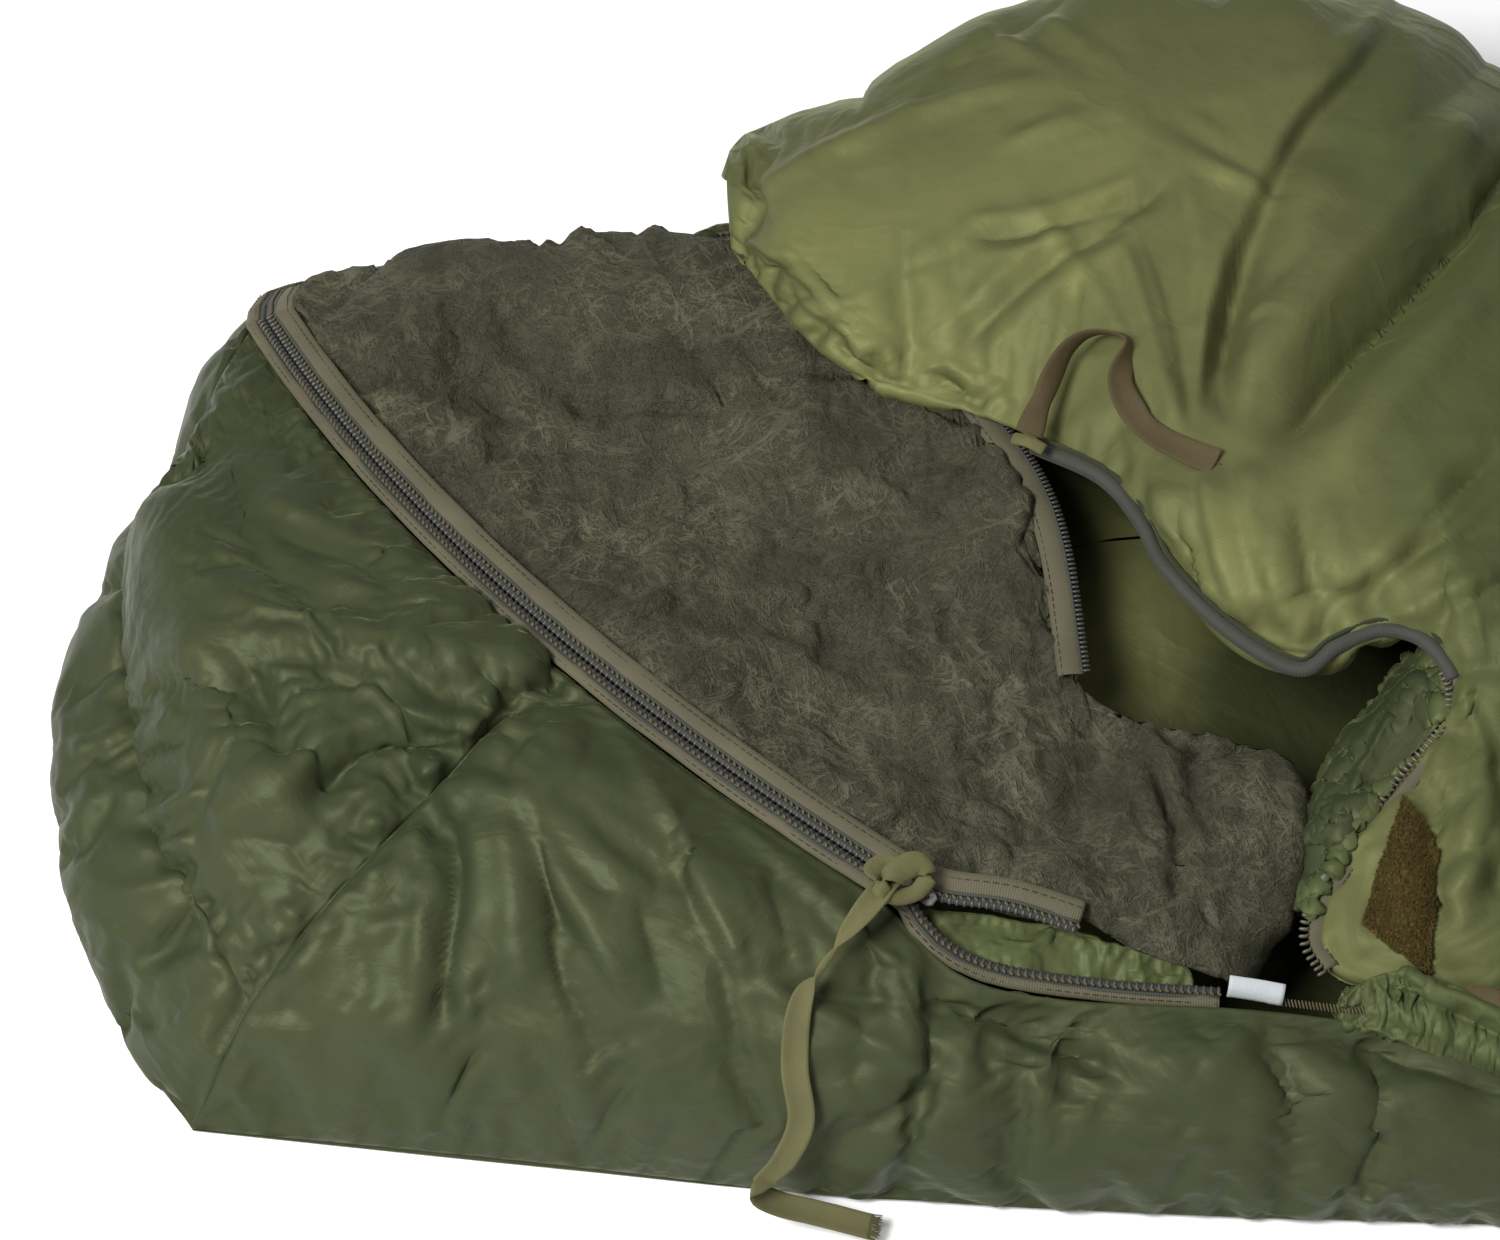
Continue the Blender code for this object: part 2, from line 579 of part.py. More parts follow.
# ---- cover ----
def closed_cover_rows():
    edge = FLOOR_EDGE
    start = FOLD_X + FOLD_GAP / 2
    return [
        [body_rim(start, PANEL_OFFSET), (start, -0.220, 0.122), (start, -0.100, 0.148),
         (start, 0.050, 0.157), (start, 0.200, 0.150), (start, 0.330, 0.106),
         (start, 0.394, 0.050), (start, 0.392, edge)],
        [body_rim(0.0, PANEL_OFFSET), (0.0, -0.200, 0.124), (0.0, -0.100, 0.145),
         (0.0, 0.050, 0.152), (0.0, 0.200, 0.144), (0.0, 0.330, 0.101), (0.0, 0.399, 0.048),
         (0.0, 0.396, edge)],
        [body_rim(0.45, PANEL_OFFSET), (0.45, -0.180, 0.117), (0.45, -0.080, 0.134),
         (0.45, 0.050, 0.139), (0.45, 0.180, 0.131), (0.45, 0.300, 0.091), (0.45, 0.369, 0.044),
         (0.45, 0.366, edge)],
        [body_rim(0.805, PANEL_OFFSET), (0.805, -0.160, 0.111), (0.805, -0.070, 0.125),
         (0.805, 0.030, 0.128), (0.805, 0.150, 0.120), (0.805, 0.260, 0.085),
         (0.805, 0.329, 0.042), (0.805, 0.326, edge)],
    ]


def foot_rows():
    edge = FLOOR_EDGE
    return [
        [(0.812, -0.297, edge), (0.812, -0.302, 0.036), (0.812, -0.260, 0.078),
         (0.812, -0.160, 0.111), (0.812, 0.000, 0.128), (0.812, 0.150, 0.119),
         (0.812, 0.260, 0.084), (0.812, 0.327, 0.042), (0.812, 0.325, edge)],
        [(0.970, -0.266, edge), (0.970, -0.271, 0.034), (0.970, -0.228, 0.070),
         (0.970, -0.140, 0.100), (0.970, 0.000, 0.115), (0.970, 0.130, 0.105),
         (0.970, 0.222, 0.075), (0.970, 0.290, 0.038), (0.970, 0.288, edge)],
        [(1.070, -0.198, edge), (1.074, -0.203, 0.030), (1.074, -0.170, 0.055),
         (1.074, -0.100, 0.080), (1.074, 0.000, 0.092), (1.074, 0.100, 0.083),
         (1.074, 0.170, 0.060), (1.074, 0.240, 0.032), (1.070, 0.238, edge)],
        [(1.122, -0.118, edge), (1.130, -0.122, 0.020), (1.128, -0.100, 0.034),
         (1.124, -0.050, 0.048), (1.122, 0.010, 0.054), (1.124, 0.070, 0.048),
         (1.128, 0.120, 0.034), (1.130, 0.162, 0.020), (1.122, 0.158, edge)],
    ]


def flap_rows():
    end = FOLD_X - FOLD_GAP / 2
    return [
        [body_rim(end, PANEL_OFFSET), (end, -0.220, 0.122), (end, -0.100, 0.148),
         (end, 0.050, 0.157), (end, 0.200, 0.151), (end, 0.330, 0.112), (end, 0.397, 0.058),
         (end, 0.396, 0.012)],
        [(-0.440, -0.272, 0.100), (-0.440, -0.205, 0.124), (-0.440, -0.130, 0.144),
         (-0.440, 0.010, 0.158), (-0.440, 0.150, 0.166), (-0.440, 0.290, 0.164),
         (-0.440, 0.380, 0.102), (-0.440, 0.398, 0.020)],
        [(-0.505, -0.232, 0.112), (-0.500, -0.180, 0.126), (-0.498, -0.120, 0.142),
         (-0.500, 0.000, 0.155), (-0.500, 0.150, 0.170), (-0.500, 0.280, 0.176),
         (-0.500, 0.374, 0.112), (-0.500, 0.396, 0.040)],
        [(-0.580, -0.070, 0.142), (-0.580, -0.020, 0.147), (-0.580, 0.040, 0.154),
         (-0.580, 0.120, 0.164), (-0.580, 0.220, 0.178), (-0.580, 0.310, 0.166),
         (-0.580, 0.374, 0.100), (-0.580, 0.386, 0.046)],
        [(-0.642, 0.004, 0.141), (-0.642, 0.050, 0.148), (-0.642, 0.100, 0.154),
         (-0.642, 0.170, 0.163), (-0.642, 0.240, 0.168), (-0.642, 0.305, 0.148),
         (-0.642, 0.358, 0.090), (-0.642, 0.368, 0.056)],
        [(-0.716, 0.056, 0.134), (-0.716, 0.090, 0.142), (-0.716, 0.130, 0.148),
         (-0.716, 0.180, 0.152), (-0.716, 0.230, 0.149), (-0.716, 0.272, 0.128),
         (-0.716, 0.314, 0.088), (-0.716, 0.328, 0.064)],
        [(-0.786, 0.156, 0.122), (-0.788, 0.172, 0.129), (-0.790, 0.190, 0.133),
         (-0.790, 0.210, 0.132), (-0.790, 0.232, 0.122), (-0.788, 0.256, 0.104),
         (-0.786, 0.284, 0.080), (-0.784, 0.296, 0.066)],
    ]


def build_cover():
    add_quilt("cover", closed_cover_rows(), 12, 11, COVER_LOFT, (GREEN, LINING_GREEN))
    add_quilt("foot_end", foot_rows(), 8, 11, FOOT_LOFT, (GREEN, LINING_GREEN))


FLAP_EDGE = [(-0.635, 0.000, 0.147), (-0.604, -0.030, 0.148), (-0.586, -0.066, 0.147),
             (-0.552, -0.112, 0.145), (-0.524, -0.150, 0.140), (-0.506, -0.190, 0.131),
             (-0.502, -0.232, 0.114), (-0.472, -0.262, 0.104)]


def build_flap():
    add_quilt("flap", flap_rows(), 12, 11, COVER_LOFT, (LIGHT_GREEN, GREEN))
    edge = [p + Vector((-0.006, -0.012, 0.003)) for p in smooth_line(FLAP_EDGE, 16)]
    stations = stations_on(edge, Vector((-0.6, -0.75, -0.1)))
    add_strip("flap_zip_tape", stations, -0.0045, 0.0045, TAPE_THICK, COIL_GREY, 0.8)
    add_strip("flap_zip_coil", stations, 0.0048, 0.0093, 0.0024, COIL_GREY, 0.5)
    point, side, _ = stations[-1]
    travel = (stations[-1][0] - stations[-2][0]).normalized()
    stop = [point + side * 0.007 + travel * 0.0010, point + side * 0.007 + travel * 0.0070]
    add_strip("flap_zip_stop", stations_on(stop, side), -0.0025, 0.0025, 0.0026, METAL_GREY, 0.3)
    loop = smooth_line([(-0.643, 0.012, 0.156), (-0.637, 0.028, 0.160), (-0.625, 0.044, 0.170),
                        (-0.602, 0.050, 0.170), (-0.590, 0.034, 0.168), (-0.584, 0.006, 0.166),
                        (-0.568, -0.012, 0.164), (-0.554, -0.022, 0.162)], 16)
    inwards = [Vector((p.x + 0.610, p.y - 0.005, 0.0)).normalized() for p in loop]
    half = WEBBING_WIDTH * 0.35
    add_strip("webbing_loop", stations_on(loop, inwards), -half, half, WEBBING_THICK, WEBBING_BROWN)
    patch = [Vector(p) for p in ((-0.480, -0.196, 0.1325), (-0.470, -0.226, 0.1265),
                                 (-0.468, -0.256, 0.1175))]
    add_strip("hook_patch", stations_on(patch, Vector((1.0, 0.0, 0.0))), -0.015, 0.015, 0.0016,
              PATCH_BROWN, 0.95)
    tube = smooth_line([(-0.560, -0.078, 0.108), (-0.530, -0.118, 0.104), (-0.506, -0.160, 0.098),
                        (-0.490, -0.210, 0.086)], 8)
    add_strip("draft_tube", stations_on(tube, Vector((0.8, 0.5, 0.0))), -0.011, 0.011, 0.012, GREEN,
              0.5)


def build_body_zip():
    travel, across, face = body_zip_axes()
    half_coil = COIL_WIDTH / 2
    for side_name, sign, start in (("side", -1, -0.060), ("cover", 1, -0.013)):
        shift = across * sign * HALF_OFFSET
        points = [BODY_ZIP_START + travel * start + shift, BODY_ZIP_END + shift]
        stations = [(p, across * sign, face) for p in points]
        add_strip("body_zip_coil_" + side_name, stations, -half_coil, half_coil, COIL_HEIGHT,
                  COIL_GREY, 0.5)
        add_strip("body_zip_tape_" + side_name, stations, TAPE_LOW, TAPE_HIGH, TAPE_THICK, TAPE_KHAKI)
    place = frame_matrix(BODY_ZIP_START + travel * BODY_SLIDER_AT, travel, face)
    add_slider("body_zip_slider", place)
    add_pull_tab("body_zip_pull", place)
    second = smooth_line([(-0.452, -0.334, 0.078), (-0.440, -0.322, 0.086), (-0.424, -0.321, 0.086),
                          (-0.412, -0.334, 0.078)], 8)
    add_strip("side_webbing_loop", stations_on(second, Vector((0.0, -0.7, 0.6))), -0.006, 0.006,
              WEBBING_THICK, WEBBING_BROWN)


clear_scene()
PARTS = new_collection("bivy_sack")
CUTTERS = new_collection("cutters")
build_bottom_pad()
build_near_side()
build_hood()
build_net()
build_net_zip()
build_pull_tape()
build_cover()
build_flap()
build_body_zip()
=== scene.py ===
"""Looks of the padded bivy sack: quilted taffeta panels, insect net, coil zips, tapes and trim.

Metres, +Z up, in the CAD part's frame: the head is at -X and the zips are on the near side, at -Y.
"""

import math

import bmesh
import bpy
import numpy as np
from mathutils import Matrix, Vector
from mathutils.bvhtree import BVHTree


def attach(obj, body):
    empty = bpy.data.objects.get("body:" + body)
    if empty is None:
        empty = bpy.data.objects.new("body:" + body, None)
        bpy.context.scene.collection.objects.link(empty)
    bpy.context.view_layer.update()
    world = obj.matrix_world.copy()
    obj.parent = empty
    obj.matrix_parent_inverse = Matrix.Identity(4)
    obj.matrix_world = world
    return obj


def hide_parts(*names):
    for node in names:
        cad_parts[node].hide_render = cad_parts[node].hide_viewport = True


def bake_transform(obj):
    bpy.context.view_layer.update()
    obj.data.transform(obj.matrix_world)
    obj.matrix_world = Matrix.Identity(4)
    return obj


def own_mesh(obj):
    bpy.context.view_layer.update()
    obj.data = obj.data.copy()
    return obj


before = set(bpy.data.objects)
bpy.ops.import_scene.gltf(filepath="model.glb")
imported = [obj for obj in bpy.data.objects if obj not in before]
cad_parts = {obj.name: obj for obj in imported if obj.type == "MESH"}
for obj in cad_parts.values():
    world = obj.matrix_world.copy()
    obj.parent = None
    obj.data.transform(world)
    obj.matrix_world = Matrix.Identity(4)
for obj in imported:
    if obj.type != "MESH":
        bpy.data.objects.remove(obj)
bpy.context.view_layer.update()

# ---- the part's driving dimensions, as in its CAD source ----
CROWN_POINT = Vector((-1.031, 0.131, 0.100))
SLIDER_POINT = Vector((-0.716, -0.243, 0.120))
BOW_TOWARDS = Vector((-0.67, -0.54, 0.49))
BOW_DEPTH = 0.038
CHAIN_LEAN = math.radians(37)
BODY_ZIP_START = Vector((-0.335, -0.300, 0.080))
BODY_ZIP_END = Vector((0.800, -0.250, 0.080))
BODY_ZIP_FACE = Vector((0.0, -0.55, 0.835))
INSIDE = np.array((-0.60, 0.02, 0.03))
LOOK_ELEVATION = math.radians(50)
LOOK_AT = Vector((-0.78, -0.03, 0.05))
LOOK_FROM = LOOK_AT + 2.05 * Vector((0, -math.cos(LOOK_ELEVATION), math.sin(LOOK_ELEVATION)))
FOLD_LEVEL = 0.10  # height at which the drawn folds are placed


# ---- curves and grids ----
def lengths_along(points):
    """Distance along a line to each of its points."""
    return np.concatenate([[0], np.cumsum(np.linalg.norm(np.diff(points, axis=0), axis=1))])


def directions(vectors):
    return vectors / np.linalg.norm(vectors, axis=1)[:, None]


def smooth_line(points, count):
    """count evenly spaced points on a smooth curve through the points, as an array."""
    p = np.array([tuple(q) for q in points], float)
    p = np.vstack([2 * p[0] - p[1], p, 2 * p[-1] - p[-2]])
    t = np.linspace(0, 1, 17)[:-1, None]
    dense = []
    for a, b, c, d in zip(p[:-3], p[1:-2], p[2:-1], p[3:]):
        dense.append(0.5 * (2 * b + (c - a) * t + (2 * a - 5 * b + 4 * c - d) * t**2
                            + (3 * b - a - 3 * c + d) * t**3))
    dense = np.vstack(dense + [p[-2:-1]])
    length = lengths_along(dense)
    want = np.linspace(0, length[-1], count)
    return np.stack([np.interp(want, length, dense[:, k]) for k in range(3)], axis=1)


def loft(rows, along, across):
    """Grid of points, along by across, through section curves."""
    sections = np.array([smooth_line(row, across) for row in rows])
    return np.stack([smooth_line(sections[:, k], along) for k in range(across)], axis=1)


def grid_lengths(grid):
    """Distance along and across the grid to each of its points, for the fabric's weave."""
    u = np.cumsum(np.linalg.norm(np.diff(grid, axis=0), axis=2), axis=0)
    v = np.cumsum(np.linalg.norm(np.diff(grid, axis=1), axis=2), axis=1)
    return np.pad(u, ((1, 0), (0, 0))), np.pad(v, ((0, 0), (1, 0)))


def grid_quads(grid, outwards=True):
    """The faces of a grid of points, turned away from the sack's inside."""
    n, m = grid.shape[:2]
    index = np.arange(n * m).reshape(n, m)
    quads = np.stack([index[:-1, :-1], index[1:, :-1], index[1:, 1:], index[:-1, 1:]], -1)
    quads = quads.reshape(-1, 4)
    a, b, d = (grid.reshape(-1, 3)[quads[:, k]] for k in (0, 1, 3))
    if outwards and (np.cross(b - a, d - a) * (a - INSIDE)).sum() < 0:
        quads = quads[:, ::-1]
    return quads


def linked(name, data):
    """A new object in the scene."""
    obj = bpy.data.objects.new(name, data)
    bpy.context.scene.collection.objects.link(obj)
    return obj


def mesh_object(name, points, faces, materials, uv=None):
    """Smooth mesh from points and lists of their numbers; uv holds two lengths for each point."""
    mesh = bpy.data.meshes.new(name)
    mesh.from_pydata(points.tolist(), [], faces)
    mesh.polygons.foreach_set("use_smooth", [True] * len(mesh.polygons))
    layer = mesh.uv_layers.new(name="UVMap")
    if uv is not None:
        corners = np.zeros(len(mesh.loops), np.int32)
        mesh.loops.foreach_get("vertex_index", corners)
        layer.data.foreach_set("uv", uv[corners].ravel())
    for material in materials:
        mesh.materials.append(material)
    mesh.update()
    return linked(name, mesh)


def grid_object(name, grid, material, outwards=True):
    """Mesh through a grid of points, with the fabric's lengths as its UV map."""
    lengths = np.stack([part.ravel() for part in grid_lengths(grid)], 1)
    return mesh_object(name, grid.reshape(-1, 3), grid_quads(grid, outwards).tolist(), [material], lengths)


def points_of(obj):
    co = np.zeros(len(obj.data.vertices) * 3)
    obj.data.vertices.foreach_get("co", co)
    return co.reshape(-1, 3)


def set_points(obj, co):
    obj.data.vertices.foreach_set("co", np.ascontiguousarray(co, np.float32).ravel())
    obj.data.update()


def normals_of(obj):
    no = np.zeros(len(obj.data.vertices) * 3)
    obj.data.vertices.foreach_get("normal", no)
    return no.reshape(-1, 3)


def apply_all(obj):
    """Make the evaluated mesh the object's own, without its modifiers."""
    depsgraph = bpy.context.evaluated_depsgraph_get()
    mesh = bpy.data.meshes.new_from_object(obj.evaluated_get(depsgraph), depsgraph=depsgraph)
    obj.modifiers.clear()
    obj.data = mesh
    return obj


def thicken(obj, thickness):
    """Give a surface its cloth's thickness: the surface stays, and the other side is inside it."""
    modifier = obj.modifiers.new("Thick", "SOLIDIFY")
    modifier.thickness = thickness
    modifier.offset = -1
    modifier.use_even_offset = False
    return apply_all(obj)


# ---- smooth seeded noise ----
def hashed(ix, iy, iz, seed):
    n = np.sin(ix * 127.1 + iy * 311.7 + iz * 74.7 + seed * 53.3) * 43758.5453
    return n - np.floor(n)


def noise(points, scale, seed=0):
    """Value noise from -1 to 1 at points, with features of about scale metres."""
    p = points / scale
    cell = np.floor(p)
    f = p - cell
    f = f * f * (3 - 2 * f)
    total = np.zeros(len(p))
    for dx in (0, 1):
        for dy in (0, 1):
            for dz in (0, 1):
                w = (f[:, 0] if dx else 1 - f[:, 0]) * (f[:, 1] if dy else 1 - f[:, 1])
                w = w * (f[:, 2] if dz else 1 - f[:, 2])
                total += w * hashed(cell[:, 0] + dx, cell[:, 1] + dy, cell[:, 2] + dz, seed)
    return total * 2 - 1


def crumple(points, scale, seed=0, stretch=(1, 1, 1)):
    """Sharp ridges between soft hollows, 0 to 1, as creased cloth has."""
    p = points * np.array(stretch)
    warp = np.stack([noise(p, scale * 1.7, seed + k + 11) for k in range(3)], 1) * scale * 0.6
    a = 1 - np.abs(noise(p + warp, scale, seed))
    b = 1 - np.abs(noise(p + warp * 0.5, scale * 0.45, seed + 5))
    return a**3 * 0.7 + b**3 * 0.3


# ---- drawn folds, as seen from the near side above ----
def seen_from_near(points):
    """Where each point appears on the fold level, with y shortened as the view shortens it."""
    eye = np.array(LOOK_FROM)
    reach = (FOLD_LEVEL - eye[2]) / (points[:, 2] - eye[2])
    flat = eye[:2] + (points[:, :2] - eye[:2]) * reach[:, None]
    return flat * np.array((1.0, math.sin(LOOK_ELEVATION)))


def stroke_distance(flat, line):
    """Signed distance from each point to a line, and the share of the line's length there."""
    best = np.full(len(flat), 1e9)
    signed = np.zeros(len(flat))
    share = np.zeros(len(flat))
    steps = np.linalg.norm(np.diff(line, axis=0), axis=1)
    starts = lengths_along(line)
    for i in range(len(line) - 1):
        a, d = line[i], line[i + 1] - line[i]
        t = np.clip(((flat - a) @ d) / (d @ d), 0, 1)
        offset = flat - a - t[:, None] * d
        distance = np.linalg.norm(offset, axis=1)
        closer = distance < best
        best = np.where(closer, distance, best)
        turn = d[0] * offset[:, 1] - d[1] * offset[:, 0]
        signed = np.where(closer, np.sign(turn) * distance, signed)
        share = np.where(closer, (starts[i] + t * steps[i]) / starts[-1], share)
    return signed, share


def fold_height(kind, signed, width):
    """A fold's profile across its line, for a height of 1."""
    x = signed / width
    if kind == "ridge":
        return np.exp(-x * x)
    if kind == "valley":
        return -np.exp(-np.abs(x) * 1.3) + 0.35 * np.exp(-((np.abs(x) - 2.0) / 0.9) ** 2)
    # a tuck: the fabric stands up on the left of the line and drops at it
    step = 0.5 + 0.5 * np.tanh(x * 2.2)
    return np.exp(-np.maximum(x, 0) / 2.2) * step - 0.25 * np.exp(np.minimum(x, 0) / 0.6) * (1 - step)


def fold_offsets(points, folds):
    """Height of the drawn folds at each point. A fold is (kind, height, width, x y pairs)."""
    flat = seen_from_near(points)
    total = np.zeros(len(points))
    for kind, height, width, line in folds:
        route = [(x, y * math.sin(LOOK_ELEVATION), 0.0) for x, y in line]
        route = smooth_line(route, max(8, 4 * len(route)))[:, :2]
        low, high = route.min(0) - 8 * width, route.max(0) + 8 * width
        near = np.all((flat > low) & (flat < high), axis=1)
        if not near.any():
            continue
        signed, share = stroke_distance(flat[near], route)
        taper = np.clip(np.minimum(share, 1 - share) * 5, 0, 1)
        taper = taper * taper * (3 - 2 * taper)
        total[near] += height * fold_height(kind, signed, width) * taper
    return total


LEANS = {"tuck": (-1, 1), "valley": (1, 1), "ridge": (1, 1)}  # a tuck may drop to either side


def puckers(route, count, length, height, width, seed, lean=0.0):
    """Short creases gathered along a seam, crossing it."""
    rng = np.random.default_rng(seed)
    line = smooth_line([(x, y, 0.0) for x, y in route], count)[:, :2]
    travel = directions(np.gradient(line, axis=0))
    folds = []
    for point, (tx, ty) in zip(line, travel):
        turn = math.pi / 2 + lean + rng.normal(0, 0.30)
        c, s = math.cos(turn), math.sin(turn)
        out = np.array((tx * c - ty * s, tx * s + ty * c))
        bend = np.array((-out[1], out[0])) * rng.normal(0, 0.12)
        before, after = length * rng.uniform(0.3, 1.0), length * rng.uniform(0.3, 1.0)
        ends = [point - out * before + bend * before, point, point + out * after + bend * after]
        kind = ("tuck", "valley", "valley", "ridge")[rng.integers(4)]
        folds.append((kind, height * rng.uniform(0.5, 1.1), width * rng.uniform(0.7, 1.3),
                      [tuple(p) for p in ends]))
    return folds


def fan(origin, aim, spread, count, reach, height, width, seed):
    """Creases that run out from one gathered point; angles in degrees."""
    rng = np.random.default_rng(seed)
    folds = []
    for k in range(count):
        angle = math.radians(aim + spread * (2 * (k + rng.uniform(0.2, 0.8)) / count - 1))
        near, far = rng.uniform(0.008, 0.040), reach * rng.uniform(0.45, 1.0)
        bend = rng.normal(0, 0.16)
        route = []
        for r in np.linspace(near, max(far, near + 0.02), 4):
            heading = angle + bend * r / reach
            route.append((origin[0] + r * math.cos(heading), origin[1] + r * math.sin(heading)))
        kind = ("tuck", "valley", "tuck", "ridge")[rng.integers(4)]
        rise = height * rng.uniform(0.4, 1.0) * rng.choice(LEANS[kind])
        folds.append((kind, rise, width * rng.uniform(0.7, 1.4), route))
    return folds


def litter(low, high, count, aim, spread, length, height, width, seed):
    """Creases strewn over part of a panel, most of them lying one way."""
    rng = np.random.default_rng(seed)
    folds = []
    for _ in range(count):
        middle = rng.uniform(low, high)
        angle = math.radians(aim + rng.normal(0, spread))
        half = length * rng.uniform(0.3, 0.6)
        run = np.array((math.cos(angle), math.sin(angle)))
        bow = np.array((-run[1], run[0])) * rng.normal(0, 0.14) * half
        kind = ("tuck", "valley", "ridge", "tuck")[rng.integers(4)]
        rise = height * rng.uniform(0.4, 1.0) * rng.choice(LEANS[kind])
        route = [tuple(middle - run * half), tuple(middle + bow), tuple(middle + run * half)]
        folds.append((kind, rise, width * rng.uniform(0.6, 1.5), route))
    return folds


# ---- the net zip's arc ----
def arc_setup():
    """Centre and radius of the net zip's arc, its chord and bow directions, and half its angle."""
    chord = SLIDER_POINT - CROWN_POINT
    along = chord.normalized()
    bow = (BOW_TOWARDS - along * BOW_TOWARDS.dot(along)).normalized()
    radius = (chord.length**2 / 4 + BOW_DEPTH**2) / (2 * BOW_DEPTH)
    centre = (CROWN_POINT + SLIDER_POINT) / 2 - bow * (radius - BOW_DEPTH)
    return centre, radius, along, bow, math.asin(chord.length / 2 / radius)


ARC_CENTRE, ARC_RADIUS, ARC_ALONG, ARC_BOW, ARC_HALF = arc_setup()
ARC_AXIS = ARC_BOW.cross(ARC_ALONG).normalized()


def arc_frame(share):
    """Point, travel, side (towards the hood) and face on the arc, 0 at the crown, 1 at the slider."""
    angle = ARC_HALF * (2 * share - 1)
    radial = ARC_BOW * math.cos(angle) + ARC_ALONG * math.sin(angle)
    travel = ARC_ALONG * math.cos(angle) - ARC_BOW * math.sin(angle)
    upward = -ARC_AXIS if ARC_AXIS.z < 0 else ARC_AXIS
    face = upward * math.cos(CHAIN_LEAN) + radial * math.sin(CHAIN_LEAN)
    side = radial * math.cos(CHAIN_LEAN) - upward * math.sin(CHAIN_LEAN)
    return ARC_CENTRE + radial * ARC_RADIUS, travel, side, face


def rim(share, side, lift):
    """The point beside the net zip's arc at that share of it."""
    point, _, towards_hood, face = arc_frame(share)
    return tuple(point + towards_hood * side + face * lift)


# ---- cloth ----
def pin_group(obj, name, weights):
    """A vertex group with those weights; its name."""
    group = obj.vertex_groups.new(name=name)
    for value in np.unique(np.round(weights, 2)):
        chosen = np.nonzero(np.isclose(np.round(weights, 2), value))[0]
        if value > 0:
            group.add([int(k) for k in chosen], float(value), "REPLACE")
    return group.name


def rim_weights(shape):
    """1 on the grid's border, 0 inside."""
    w = np.ones(shape)
    w[1:-1, 1:-1] = 0
    return w.ravel()


def settle(obj, pins, grow, pressure, frames, stiff, bending, loose=None, extra=0.0, mass=0.15):
    """Cloth simulation: pinned at its border, cut larger than its place, so that it buckles.

    The cloth is larger by grow, and by extra where loose is 1.
    """
    scene = bpy.context.scene
    scene.frame_start, scene.frame_end = 1, frames
    cloth = obj.modifiers.new("Cloth", "CLOTH")
    s = cloth.settings
    s.quality = 6
    s.mass = mass
    s.tension_stiffness = s.compression_stiffness = stiff
    s.shear_stiffness = stiff * 0.4
    s.bending_stiffness = bending
    s.air_damping = 2.0
    s.vertex_group_mass = pin_group(obj, "pin", pins)
    s.pin_stiffness = 1.0
    s.shrink_min = -grow
    if loose is not None:
        s.vertex_group_shrink = pin_group(obj, "loose", loose)
        s.shrink_max = -extra
    s.use_pressure = True
    s.uniform_pressure_force = pressure
    s.effector_weights.gravity = 0.0
    cloth.point_cache.frame_start, cloth.point_cache.frame_end = 1, frames
    cloth.collision_settings.use_collision = False
    cloth.collision_settings.use_self_collision = False
    for f in range(1, frames + 1):
        scene.frame_set(f)
    apply_all(obj)
    scene.frame_set(1)


def cap_travel(obj, start, outwards, inwards):
    """Keep each point within reach of where it started, along the starting surface's normal."""
    offset = points_of(obj) - start[0]
    rise = (offset * start[1]).sum(1)
    capped = np.where(rise > 0, outwards * np.tanh(rise / outwards), inwards * np.tanh(rise / inwards))
    side = offset - rise[:, None] * start[1]
    set_points(obj, start[0] + capped[:, None] * start[1] + side)


